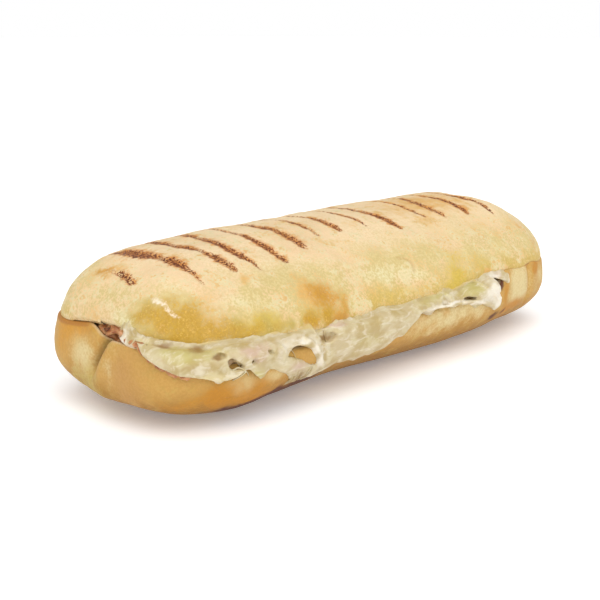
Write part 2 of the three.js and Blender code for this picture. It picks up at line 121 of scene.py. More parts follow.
def outline(bearing, z):
    c, s = np.cos(np.radians(bearing)), np.sin(np.radians(bearing))
    power = roll["planPower"]
    reach = (np.abs(c) ** power + np.abs(s) ** power) ** (-1 / power)
    x = levelHalfLength(z, c < 0) * reach * c
    return x, levelHalfWidth(x, z) * reach * s


def openShare(bearing, margin=0.0):
    start, end = cut["openFront"][0] + margin, cut["openFront"][1] - margin
    front = between(start - 3, start + 3, end - 4, end + 1, bearing)
    start, end = cut["openBack"][0] + margin, cut["openBack"][1] - margin
    back = between(start - 6, start + 6, end - 6, end + 6, bearing)
    return np.maximum(front, back)


def sagAt(x, y):
    sags = sum(depth * bump(x, place, width) for depth, place, width in lipSags)
    sags = np.maximum(sags, 2.5 * smoothStep(-52, -38, x) * smoothStep(24, 12, x))
    return sags * smoothStep(-20, -34, y)


# Level of the lip of the top half
def lipAt(x, y):
    ends = 1.2 * smoothStep(-96, -106, x) - 1.2 * smoothStep(80, 96, x)
    slit = 2.4 * bump(y, -3, 15) * smoothStep(-100, -108, x)
    wave = 0.35 * np.sin(0.31 * x + 0.9) + 0.25 * np.sin(0.17 * x - 0.11 * y)
    return cut["lipLevel"] + ends + slit + wave - sagAt(x, y)


# Level of the rim of the bottom half: up at the lip where the roll is shut
def rimAt(bearing):
    x, y = outline(bearing, widest)
    shut = lipAt(x, y) - 1.5 - cut["closedGap"]
    slitFloor = 5.6 * smoothStep(219, 206, bearing) * smoothStep(164, 176, bearing)
    slitFloor = slitFloor - 1.3 * bump(y, -3.5, 3) * smoothStep(-90, -100, x)
    front = between(171, 184, 294, 299, bearing)
    share = np.where(bearing > 160, front, openShare(bearing))
    return mixed(shut + 1.0, cut["floorLevel"] + slitFloor, share)


def bottomRelief(x, y, z):
    leftEnd = smoothStep(-100, -107, x)
    creaseLine = alongLine(foldLine[1:], z)
    endBulge = 1.3 * smoothStep(-92, -106, x) * bump(z, 21, 9)
    frontLobe = 1.1 * leftEnd * smoothStep(creaseLine + 1, creaseLine - 5, y) * bump(z, 18, 11)
    crease = 1.7 * leftEnd * bump(y, creaseLine, 2.8) * smoothStep(12, 20, z)
    sideCrease = 1.3 * smoothStep(-30, -38, y) * bump(x, 80, 2) * smoothStep(9, 17, z)
    corner = leftEnd * (2.8 * bump(y, 0, 13) - 1.2 * bump(y, 27, 8)) * bump(z, 7, 6)
    hollow = 2.2 * bump(x, -28, 36) * bump(z, 8, 9) * smoothStep(0, -20, y)
    dough = 0.35 * np.sin(0.09 * x + 0.07 * y + 0.5) * smoothStep(0, 6, z)
    return endBulge + frontLobe - crease - sideCrease + corner - hollow + dough


def crownRelief(x, y, z):
    tuck = 1.3 * smoothStep(-92, -106, x) * bump(z, 36, 6)
    shoulder = 1.2 * smoothStep(84, 100, x) * bump(z, 48, 8)
    crown = (1.1 * bump(x, -93, 14) + 0.9 * bump(x, 78, 13)) * smoothStep(44, 50, z)
    blister = 0.8 * bump(x, -92, 14) * bump(z, 39, 8) * smoothStep(-20, -28, y)
    dough = 0.4 * np.sin(0.075 * x - 0.4) * np.cos(0.06 * y + 0.08 * z)
    return crown + blister + dough - tuck - shoulder


# A place at a level, moved in from the outline at right angles to it
def insetPoint(bearing, z, inset):
    x, y = outline(bearing, z)
    ax, ay = outline(bearing + 0.5, z)
    bx, by = outline(bearing - 0.5, z)
    nx, ny = by - ay, ax - bx
    length = np.hypot(nx, ny) + 1e-9
    move = inset - bottomRelief(x, y, z)
    return x + nx / length * move, y + ny / length * move


# Skin of the bottom half: way is below 0 over the cut face, above 0 round the rim and down
def bottomSkin(bearing, way):
    bearing, way = np.broadcast_arrays(np.asarray(bearing, float), np.asarray(way, float))
    radius, rim = cut["rimRadius"], rimAt(bearing)
    quarter = math.pi / 2 * radius
    turn = np.clip(way, 0, quarter) / radius
    inset = np.where(way < 0, radius - way, radius * (1 - np.sin(turn)))
    level = np.where(way >= quarter, np.maximum(0, rim - radius - (way - quarter)), rim - radius)
    x, y = insetPoint(bearing, level, inset)
    slope = alongLine([(radius, rim), (cut["slopeEnd"], cut["floorLevel"])], inset)
    rounded = np.where(way >= 0, rim - radius + radius * np.cos(turn), slope)
    return np.stack([x, y, np.where(way >= quarter, level, rounded)], -1)


def draped(bearing, way, gap):
    alongRim = bottomSkin(bearing + 1, way) - bottomSkin(bearing - 1, way)
    alongWay = bottomSkin(bearing, way + 0.3) - bottomSkin(bearing, way - 0.3)
    out = np.cross(alongWay, alongRim)
    out /= np.linalg.norm(out, axis=-1, keepdims=True) + 1e-9
    return bottomSkin(bearing, way) + out * np.asarray(gap)[..., None]


# Directions around the roll, step millimetres apart and closer together in the dense ranges
def evenBearings(step, dense=(), denseStep=1.0):
    fine = np.linspace(0, 360, 7201)
    x, y = outline(fine, widest)
    wanted = np.full(len(fine) - 1, float(step))
    for start, end in dense:
        wanted[(fine[:-1] >= start) & (fine[:-1] < end)] = denseStep
    travel = np.concatenate([[0], np.cumsum(np.hypot(np.diff(x), np.diff(y)) / wanted)])
    count = int(travel[-1])
    return np.interp(np.arange(count) * travel[-1] / count, travel, fine)


# Meshes are lists of points and faces until makePiece makes an object of them
def ringFaces(rows, count):
    faces = []
    for r in range(rows - 1):
        for i in range(count):
            a, b = r * count + i, r * count + (i + 1) % count
            faces.append((a, b, b + count, a + count))
    return faces


# Smaller and smaller copies of a ring, to close it; along the roll they stay longer
def capRings(ring, shares, longest=0.55):
    middle = ring.mean(axis=0)
    rows = []
    for share in shares:
        row = middle + (ring - middle) * np.array([share + (1 - share) * longest, share, share])
        row[:, 2] = ring[:, 2]
        rows.append(row)
    return rows


def closedRings(rows):
    count = len(rows[0])
    points = np.concatenate(rows)
    faces = ringFaces(len(rows), count)
    first, last = points[:count].mean(axis=0), points[-count:].mean(axis=0)
    points = np.concatenate([points, [first, last]])
    a, b, base = len(points) - 2, len(points) - 1, (len(rows) - 1) * count
    faces += [(a, (i + 1) % count, i) for i in range(count)]
    faces += [(b, base + i, base + (i + 1) % count) for i in range(count)]
    return points, faces


def joinedMesh(meshes):
    points, faces, start = [], [], 0
    for meshPoints, meshFaces in meshes:
        points.append(meshPoints)
        faces += [tuple(v + start for v in face) for face in meshFaces]
        start += len(meshPoints)
    return np.concatenate(points), faces


# Turns all faces over if they look inwards, which some thousands of them show well enough
def outwardFaces(points, faces, looks=6000):
    volume = 0.0
    middle = points.mean(axis=0)
    for face in faces[:: max(1, len(faces) // looks)]:
        a, b, c = points[face[0]], points[face[1]], points[face[2]]
        volume += float(np.dot(a - middle, np.cross(b - a, c - a)))
    return faces if volume > 0 else [tuple(reversed(face)) for face in faces]


def makePiece(name, points, faces, finish, paint=None):
    mesh = bpy.data.meshes.new(name)
    mesh.from_pydata((points * 0.001).tolist(), [], outwardFaces(points, faces))
    mesh.update()
    mesh.polygons.foreach_set("use_smooth", np.ones(len(mesh.polygons), bool))
    mesh.materials.append(finish)
    for label, values in (paint or {}).items():
        layer = mesh.attributes.new(label, "FLOAT", "POINT")
        layer.data.foreach_set("value", values.astype(np.float32))
    piece = bpy.data.objects.new(name, mesh)
    scene.collection.objects.link(piece)
    return piece


def meshOf(piece):
    flat = np.empty(len(piece.data.vertices) * 3)
    piece.data.vertices.foreach_get("co", flat)
    return flat.reshape(-1, 3) * 1000, [tuple(face.vertices) for face in piece.data.polygons]


def surfaceTree(pieces):
    points, faces = joinedMesh([meshOf(piece) for piece in pieces])
    return BVHTree.FromPolygons(points.tolist(), faces)


# Applies a modifier for good
def settle(piece, kind, **settings):
    change = piece.modifiers.new(kind, kind)
    for label, value in settings.items():
        setattr(change, label, value)
    made = bpy.data.meshes.new_from_object(piece.evaluated_get(bpy.context.evaluated_depsgraph_get()))
    piece.modifiers.clear()
    piece.data = made


def pathNoise(points, size, seed):
    shift = Vector((seed * 13.7, seed * 5.3, seed * 9.1))
    return np.array([noise.fractal(Vector(p) / size + shift, 1.0, 2.0, 2) for p in points.tolist()])


# Height of dough from noises, each a height, a size and a seed
def unevenDough(points, noises):
    return sum(height * pathNoise(points, size, seed) for height, size, seed in noises)


# How near points are to a line through corners, 1 on it and 0 some widths away
def nearLine(points, corners, width):
    best = np.full(len(points), 1e9)
    corners = np.array(corners, float)
    for a, b in zip(corners, corners[1:]):
        along = np.clip(((points - a) @ (b - a)) / max((b - a) @ (b - a), 1e-9), 0, 1)
        best = np.minimum(best, np.linalg.norm(points - a - along[:, None] * (b - a), axis=1))
    return np.exp(-((best / width) ** 2))


# Layers of paint from spots, each a middle, half sizes and a weight; spots of a kind run together
def spotPaint(spots, points, warp=(2.6, 9)):
    drift, size = warp
    moved = points + drift * np.stack([pathNoise(points, size, seed) for seed in (21, 22, 23)], -1)
    paint = {}
    for kind, rows in spots.items():
        bare = 1
        for x, y, z, halfX, halfY, halfZ, weight in rows:
            away = (moved - np.array([x, y, z])) / np.array([halfX, halfY, halfZ])
            bare = bare * (1 - weight * np.exp(-(away ** 2).sum(axis=1)))
        paint[kind] = 1 - bare
    return paint


# Shader maths: Python maths on a node's output adds Math nodes
class Field:
    def __init__(self, nodes, socket):
        self.nodes, self.socket = nodes, socket

    def maths(self, operation, *values):
        return self.nodes.node("ShaderNodeMath", {"operation": operation}, dict(enumerate(values)))

    def __add__(self, other):
        return self.maths("ADD", self, other)

    def __sub__(self, other):
        return self.maths("SUBTRACT", self, other)

    def __rsub__(self, other):
        return self.maths("SUBTRACT", other, self)

    def __mul__(self, other):
        return self.maths("MULTIPLY", self, other)

    __radd__ = __add__
    __rmul__ = __mul__


class Nodes:
    def __init__(self, tree):
        self.tree = tree

    def node(self, kind, settings=None, sockets=None, output=0):
        made = self.tree.nodes.new(kind)
        for label, value in (settings or {}).items():
            setattr(made, label, value)
        for label, value in (sockets or {}).items():
            if isinstance(value, Field):
                self.tree.links.new(value.socket, made.inputs[label])
            else:
                made.inputs[label].default_value = value
        return Field(self, made.outputs[output])

    def step(self, value, start, end):
        return self.node("ShaderNodeMapRange", {"interpolation_type": "SMOOTHSTEP"},
                         {"Value": value, "From Min": start, "From Max": end})

    def mix(self, share, a, b, blend="MIX"):
        return self.node("ShaderNodeMix", {"data_type": "RGBA", "blend_type": blend},
                         {0: share, 6: a, 7: b}, 2)


# sRGB hex to the linear colour that a socket takes
def colour(code):
    parts = [int(code[i:i + 2], 16) / 255 for i in (0, 2, 4)]
    return (*[v / 12.92 if v <= 0.04045 else ((v + 0.055) / 1.055) ** 2.4 for v in parts], 1.0)


# A material whose first shade lies under all the coats that follow
class Finish(Nodes):
    def __init__(self, name, shades, **constants):
        self.material = bpy.data.materials.new(name)
        self.material.use_nodes = True
        super().__init__(self.material.node_tree)
        self.surface = self.tree.nodes["Principled BSDF"]
        for label, value in constants.items():
            self.surface.inputs[label.replace("_", " ")].default_value = value
        self.shades = {label: colour(code) for label, code in shades.items()}
        self.base = next(iter(self.shades.values()))
        self.surface.inputs["Base Color"].default_value = self.base
        self.place = self.node("ShaderNodeVectorMath", {"operation": "SCALE"},
                               {0: self.node("ShaderNodeTexCoord", output="Object"), "Scale": 1000.0})

    def noise(self, size, detail=2.0, roughness=0.5, stretch=None, distortion=0.0):
        place = self.place if stretch is None else self.node(
            "ShaderNodeVectorMath", {"operation": "MULTIPLY"}, {0: self.place, 1: stretch})
        return self.node("ShaderNodeTexNoise", None, {
            "Vector": place, "Scale": 1 / size, "Detail": detail,
            "Roughness": roughness, "Distortion": distortion})

    def height(self):
        return self.node("ShaderNodeSeparateXYZ", None, {0: self.place}, 2)

    def painted(self, label):
        return self.node("ShaderNodeAttribute", {"attribute_name": label}, output="Fac")

    # paint from spots or lines, its edge broken up by a texture
    def worn(self, label, texture, start, end):
        return self.step(self.painted(label) + texture, start, end)

    def coat(self, share, label):
        self.base = self.mix(share, self.base, self.shades[label])

    def coats(self, labels, broken, weight=0.9):
        for label in labels:
            self.coat(weight * self.worn(label, broken, 0.12, 0.85), label)

    def darken(self, share, tint):
        self.base = self.mix(share, self.base, tint, "MULTIPLY")

    def feed(self, label, value):
        self.tree.links.new(value.socket, self.surface.inputs[label])

    # wires the coats and roughness up, and raises the surface by a height in millimetres
    def close(self, roughness, height, depth):
        self.feed("Base Color", self.base)
        if roughness:
            self.feed("Roughness", roughness)
        bumps = {"Height": height, "Distance": depth * 0.001}
        self.feed("Normal", self.node("ShaderNodeBump", None, bumps))
        return self.material


# camera, light and floor
view = {
    "place": (-0.30997, -0.27797, 0.12467),
    "right": (0.6857, -0.7279, 0.0), "back": (-0.7065, -0.6654, 0.2411),
    "lens": 64.594, "sensor": 36.0,
}
studio = {
    "horizon": 1.0, "zenith": 0.5, "floorShade": "fafafb", "floorGlow": 0.18,
    "floorHalf": 20000.0, "floorLevel": -0.05,
    # name, direction to the lamp, softness in degrees, strength
    "lamps": [("overhead", (-0.35, -0.45, 1.0), 70, 2.1), ("front", (-0.9, -0.75, 0.35), 60, 0.2)],
}


def makeCamera():
    right, back = Vector(view["right"]).normalized(), Vector(view["back"]).normalized()
    up = back.cross(right).normalized()
    camera = bpy.data.objects.new("camera", bpy.data.cameras.new("camera"))
    camera.data.lens, camera.data.sensor_width = view["lens"], view["sensor"]
    camera.data.clip_start, camera.data.clip_end = 0.01, 100
    camera.matrix_world = Matrix((right, up, back)).transposed().to_4x4()
    camera.location = view["place"]
    scene.collection.objects.link(camera)
    scene.camera = camera


def makeStudio():
    world = bpy.data.worlds.new("studio_sky")
    world.use_nodes = True
    sky = Nodes(world.node_tree)
    direction = sky.node("ShaderNodeTexCoord", output="Generated")
    rise = sky.step(sky.node("ShaderNodeSeparateXYZ", None, {0: direction}, 2), 0.05, 0.5)
    strength = studio["horizon"] - (studio["horizon"] - studio["zenith"]) * rise
    background = world.node_tree.nodes["Background"]
    background.inputs["Color"].default_value = (1, 1, 1, 1)
    world.node_tree.links.new(strength.socket, background.inputs["Strength"])
    scene.world = world
    for name, direction, softness, strength in studio["lamps"]:
        lamp = bpy.data.lights.new(name, "SUN")
        lamp.angle, lamp.energy = math.radians(softness), strength
        light = bpy.data.objects.new(name, lamp)
        light.rotation_euler = Vector(direction).to_track_quat("Z", "Y").to_euler()
        scene.collection.objects.link(light)
    finish = Finish("floor", {"floor": studio["floorShade"]}, Roughness=0.9,
                    Emission_Color=(1, 1, 1, 1), Emission_Strength=studio["floorGlow"])
    corners = np.array([(-1, -1, 0), (1, -1, 0), (1, 1, 0), (-1, 1, 0)]) * studio["floorHalf"]
    floor = makePiece("floor", corners + (0, 0, studio["floorLevel"]), [(0, 1, 2, 3)], finish.material)


scene.view_settings.view_transform = "Standard"
makeCamera()
makeStudio()
print("camera, lamps and floor made")

# what both crusts share
crust = {"Subsurface_Weight": 0.05, "Subsurface_Scale": 0.003, "Specular_IOR_Level": 0.3}


def crustHeight(finish, grain, mottle):
    pores = finish.step(finish.noise(1.9, 1, 0.5), 0.62, 0.72)
    return 0.55 * grain + 1.0 * mottle - 0.25 * pores


def topCrustFinish():
    f = Finish("top_crust", {
        "crown": "e9d1aa", "side": "d1be86", "low": "c7aa58", "cream": "dfd6ae", "peach": "dfbd92",
        "gold": "b88f24", "yellow": "c8ad46", "orange": "c18b2c", "tan_and_shade": "d7aa62", "pale": "ddd4a8",
        "olive": "b9a45a", "painted_glint": "fff6ea", "glow": "eec76e", "halo": "d08a3c", "brown": "a3561c",
        "char": "4c1c05", "crumb": "f2e2bd", "fold": "a8763c", "seam_shade": "a8743a",
    }, Subsurface_Radius=(1.0, 0.6, 0.3), **crust)
    cloud, mottle, grain = f.noise(20, 3, 0.55), f.noise(4.5, 3, 0.6), f.noise(0.9, 2, 0.6)
    streaks, patches = f.noise(3.4, 2, 0.55, (1, 1, 0.3)), f.noise(9, 4, 0.65)
    broken = 1.1 * (mottle - 0.5) + 0.8 * (grain - 0.5)
    height = f.height() + 16 * (cloud - 0.5) + 8 * (mottle - 0.5)
    f.coat(f.step(height, 52, 42), "side")
    f.coat(0.8 * f.step(height + 9 * (streaks - 0.5), 38, 30), "low")
    f.coat(0.75 * f.step(mottle + 0.5 * (cloud - 0.5), 0.5, 0.62), "cream")
    f.coat(0.6 * f.step(cloud + 0.8 * (grain - 0.5), 0.5, 0.64), "peach")
    f.coat(0.5 * f.step(patches + 0.6 * (grain - 0.5), 0.54, 0.66), "tan_and_shade")
    f.coats(("yellow", "tan_and_shade", "orange", "gold", "olive", "pale"), broken)
    glow = f.step(f.noise(0.8, 3, 0.7), 0.5, 0.68) * f.worn("gold", 2 * broken, 0.3, 1.1)
    f.coat(0.4 * glow, "glow")
    f.coat(f.worn("halo", 1.4 * broken, 0.15, 0.9) * 0.85, "halo")
    speck, coarse = f.step(f.noise(0.55, 1, 0.5), 0.4, 0.6), f.noise(2.6, 2, 0.6)
    mark = f.painted("mark")
    burn = mark + (0.5 + f.step(mark, 0, 0.6)) * (speck - 0.5) + 1.0 * (coarse - 0.5)
    scorch = f.step(burn, 0.08, 0.66)
    f.coat(0.85 * scorch, "brown")
    f.coat(0.86 * f.step(burn, 0.74, 1.38), "char")
    # painted highlight: a soft white glint streaked along the glint line
    f.coat(0.55 * f.worn("painted_glint", 1.6 * (grain - 0.5) + 1.4 * (mottle - 0.5), 0.35, 1.2), "painted_glint")
    # painted shade along the seam where the halves meet, in a toasted brown
    f.coat(0.9 * f.worn("seam_shade", 0.6 * broken, 0.3, 0.9), "seam_shade")
    # painted shade in the crease and the small crack
    f.coat(0.7 * f.painted("fold"), "fold")
    f.coat(f.painted("crumb"), "crumb")
    f.darken(0.65 * f.step(grain, 0.6, 0.42), (0.86, 0.8, 0.68, 1))
    return f.close(0.58 - 0.12 * scorch + 0.12 * grain,
                   crustHeight(f, grain, mottle) + 0.5 * scorch * speck, 0.22)


def bottomCrustFinish():
    f = Finish("bottom_crust", {
        "side": "c1974f", "low": "9d712a", "base": "7c4824", "orange": "ba7f20", "gold": "c88f30",
        "pale": "d6c593", "olive": "b49c50", "lobe": "ba8d4e", "shade_and_scorch": "552410", "fold": "7d632a",
        "seam_shade": "a8702f", "crumb": "f2e2bd",
    }, **crust)
    cloud, mottle, grain = f.noise(18, 3, 0.55), f.noise(4.5, 3, 0.6), f.noise(0.9, 2, 0.6)
    broken = 0.8 * (mottle - 0.5) + 0.4 * (grain - 0.5)
    height = f.height() + 10 * (cloud - 0.5) + 4 * (mottle - 0.5)
    # darker towards the bottom: partly the crust's own colour, partly painted shade
    f.coat(f.step(height, 18, 7), "low")
    f.coat(0.4 * f.step(mottle, 0.5, 0.7), "olive")
    f.coats(("lobe", "pale", "orange", "gold", "olive"), broken)
    # the lowest band next to the floor is painted darkest: painted shade under the bun
    f.coat(0.9 * f.step(height, 3.5, 0.5), "base")
    # painted shade along the seam where the halves meet, in a toasted brown
    f.coat(0.8 * f.worn("seam_shade", broken, 0.3, 0.9), "seam_shade")
    # painted shade under the bun and in the slit at the right, with some scorched spots
    f.coat(0.95 * f.worn("shade_and_scorch", broken, 0.25, 0.8), "shade_and_scorch")
    # painted shade on the far side of the fold at the left end
    f.coat(0.8 * f.painted("fold"), "fold")
    f.coat(f.painted("crumb"), "crumb")
    f.darken(0.45 * f.step(grain, 0.62, 0.38), (0.84, 0.78, 0.66, 1))
    return f.close(0.56 + 0.12 * grain, crustHeight(f, grain, mottle), 0.22)


def hamFinish():
    f = Finish("ham", {"deep": "985a2e", "fresh": "c38c5a", "pale": "d6a87e"},
               Roughness=0.42, Subsurface_Weight=0.2, Subsurface_Scale=0.002)
    fibres, spots = f.noise(1.6, 3, 0.6, (0.35, 1, 1)), f.noise(5, 2, 0.5)
    f.coat(f.step(fibres, 0.35, 0.65), "fresh")
    f.coat(0.5 * f.step(spots, 0.52, 0.72), "pale")
    return f.close(None, fibres + 0.4 * spots, 0.2)


def cheeseFinish():
    # the cheese's shades are a darker beige: partly thin stretched cheese, partly painted shade from lying
    # under the lip of the top half
    f = Finish("melted_cheese", {
        "film": "bfad84", "warm": "b39d68", "milk": "cbbe98", "white": "e9e2d2", "green": "b8ab62",
        "pink": "c6a896", "tan_and_shade": "8a6430", "cream": "d0c192", "smear": "c9ae68",
    }, Subsurface_Weight=0.25, Subsurface_Scale=0.002, Subsurface_Radius=(1.0, 0.85, 0.55))
    flow, cloud = f.noise(3.6, 2, 0.5, (0.7, 1, 0.7), 0.6), f.noise(9, 2, 0.5)
    fine, mottle = f.noise(1.0, 2, 0.6), f.noise(3, 2, 0.5)
    broken = 0.7 * (mottle - 0.5) + 0.3 * (fine - 0.5)
    f.coat(f.step(cloud, 0.38, 0.62), "warm")
    f.coat(0.8 * f.step(flow, 0.42, 0.66), "milk")
    wisps = f.step(f.noise(2.6, 3, 0.6, (0.35, 1, 1), 0.9), 0.48, 0.7)
    f.coats(("green", "pink", "cream"), broken, 0.8)
    f.coat(0.38 * wisps, "white")
    # painted shade in the gaps under the lip and in the openings and slits
    f.coats(("white", "tan_and_shade"), broken, 0.8)
    f.coat(0.8 * f.worn("smear", broken, 0.1, 0.7), "smear")
    return f.close(0.3 + 0.25 * fine, 0.6 * flow + 0.2 * fine, 0.2)


topCrust, bottomCrust = topCrustFinish(), bottomCrustFinish()
ham, meltedCheese = hamFinish(), cheeseFinish()
print("finishes made")

topHalfForm = {
    "step": 0.75, "coarseStep": 1.3, "seamDrop": 1.8, "grooveDepth": 0.55,
    "centreLevel": 33.5, "overCrown": 130,    # middle of the skin, and its length lip to lip
    "planLevel": 33.0, "rimLevel": 31.0, "stationEnd": 109.6, "stationLevels": (31, 56.4),
    "dough": [(0.5, 16, 1), (0.14, 4.5, 2), (0.06, 1.6, 7)],
    "lipRoll": 0.8, "lipRise": 3.2, "shutLift": 0.45, "leftTip": -109.75, "rightTip": 109.8,
    # rings under the lip: how far in, how far down, and how far towards the roof of the cut
    "lipRings": [(0.3, 0.4, 0), (0.7, 0.75, 0), (1.2, 1.0, 0), (1.9, 1.25, 0), (2.8, 1.45, 0),
                 (4.5, 1.5, 0.35), (7, 1.5, 0.7), (12, 1.5, 1)],
    "creaseDepth": 0.35, "creaseWidth": 0.7,
    "crease": [(0.4, -35.7, 43.4), (3.3, -36.3, 43), (5.4, -37.4, 41.7), (5.5, -38.9, 40),
               (4.2, -40.4, 38.2)],
    # line of the painted highlight, a white glint on the crust
    "glint": [(-103.4, -20.9, 43.5), (-102.3, -24.5, 42.3), (-102.3, -26.8, 40.5), (-101.5, -28.5, 39.3)],
    # a small crack, drawn only as a dark line of painted shade
    "crack": [(-109.5, -6.5, 41), (-109.8, -7.2, 38.5), (-109.9, -7.6, 36)],
}
unmarked = -0.6    # paint of the crust away from the grill marks
# grill marks from the back to the front: across, place along the roll, half width, strength
grillMarks = [
    [(8.7, -100, 0.9, 0.05), (3.4, -100, 1, 0.15), (0.5, -99.8, 1.3, 0.6), (-2.5, -100.4, 1.3, 0.8),
     (-6, -101.3, 1.3, 0.7), (-9.9, -101.8, 0.9, 0.3)],
    [(24, -90.5, 1.2, 0.5), (15, -90, 1.6, 0.8), (10, -89.8, 2.5, 1), (5, -89.9, 3, 1.1),
     (0, -89.9, 2.9, 1.05), (-4, -89.6, 2.1, 0.9), (-8, -89.4, 1.6, 0.6), (-11, -89, 2.2, 1),
     (-15, -88.8, 2.3, 1), (-19, -88.8, 1.6, 0.8), (-23, -88.4, 1, 0.5), (-27.6, -88, 0.6, 0.15)],
    [(25, -77.5, 1.2, 0.5), (13, -77.3, 1.5, 0.7), (7, -77.2, 2.2, 1), (2, -77, 1.6, 0.65),
     (-4, -76.8, 2, 0.95), (-8, -76.5, 1.7, 0.9), (-11, -76, 1.1, 0.6), (-14, -75.5, 1.4, 0.8),
     (-18, -74.8, 2.3, 0.9), (-22, -74, 2.2, 0.6), (-25, -73.3, 1.9, 0.5), (-27, -73, 1, 0.2)],
    [(25, -64, 1.2, 0.5), (11, -64.3, 1.5, 0.7), (7, -64.8, 1.8, 0.95), (2, -65.5, 1.4, 0.7),
     (-2, -66, 1.6, 0.8), (-6, -66.3, 1.9, 0.95), (-13, -66, 2, 1), (-19, -65.3, 2.3, 1.05),
     (-22, -64.6, 1.8, 0.85), (-25, -63.8, 1, 0.5), (-28.6, -63, 0.7, 0.25)],
    [(25, -53, 1, 0.5), (12, -52.8, 1.1, 0.6), (3, -52.6, 1.2, 0.5), (-5, -52.3, 1.4, 0.85),
     (-13, -52, 1.7, 0.95), (-18, -51.7, 1.9, 1), (-22, -51.3, 1.5, 0.75), (-26, -51, 1.7, 0.9),
     (-28.3, -50.7, 1.1, 0.5)],
    [(25, -39.5, 1, 0.5), (5, -39, 1.3, 0.7), (-1, -39, 1.5, 0.8), (-5, -38.8, 2.2, 1.05),
     (-9, -38.5, 1.5, 0.75), (-13, -38.3, 1.7, 0.8), (-17, -38, 2, 0.95), (-22, -37.7, 1.9, 0.9),
     (-25, -37.5, 1, 0.4)],
    [(24, -26, 0.9, 0.5), (0, -26, 1.1, 0.65), (-10, -25.8, 1.2, 0.65), (-20, -25.5, 0.8, 0.3)],
    [(24, -14.4, 1, 0.5), (-2, -14.2, 1.3, 0.7), (-12, -14, 1.8, 0.95), (-18, -13.8, 1.7, 0.9),
     (-20.5, -13.7, 1, 0.4)],
    [(24, 0.5, 1, 0.5), (0, 0.7, 1.1, 0.7), (-12, 0.9, 1.3, 0.8), (-21, 1.2, 0.8, 0.4)],
    [(24, 12.6, 1, 0.5), (0, 13, 1.4, 0.75), (-8, 13.6, 1.7, 0.85), (-15, 14.5, 2.2, 1.05),
     (-21, 15.5, 2.1, 1), (-24, 16, 1.3, 0.6), (-25.5, 16.2, 0.7, 0.25)],
    [(24, 36.5, 1, 0.5), (0, 36.8, 1.1, 0.7), (-14, 37, 1.2, 0.7), (-21, 37.2, 0.8, 0.3)],
    [(24, 52.5, 1, 0.5), (10, 51.5, 1.1, 0.55), (2.5, 49.8, 1.3, 0.65), (-6, 47.5, 1.7, 0.65),
     (-12.7, 46.3, 2, 0.65), (-18, 46.3, 2, 0.65), (-21, 46.8, 1.6, 0.55), (-24, 47.6, 1, 0.25)],
    [(24, 62.8, 1, 0.5), (0, 62.6, 1.3, 0.75), (-12, 62.4, 1.7, 0.9), (-18, 62.3, 1.9, 1),
     (-23, 62, 1.5, 0.8), (-25, 62, 0.8, 0.3)],
    [(24, 75, 1, 0.5), (0, 74, 1.3, 0.8), (-6, 73.6, 1.5, 0.95), (-11, 74.8, 1.8, 1),
     (-15, 76.2, 1.6, 0.9), (-18, 76.9, 1.2, 0.5), (-21.5, 77.2, 1.7, 0.95), (-25, 76.6, 1.3, 0.7),
     (-27.5, 75.8, 0.8, 0.3)],
]
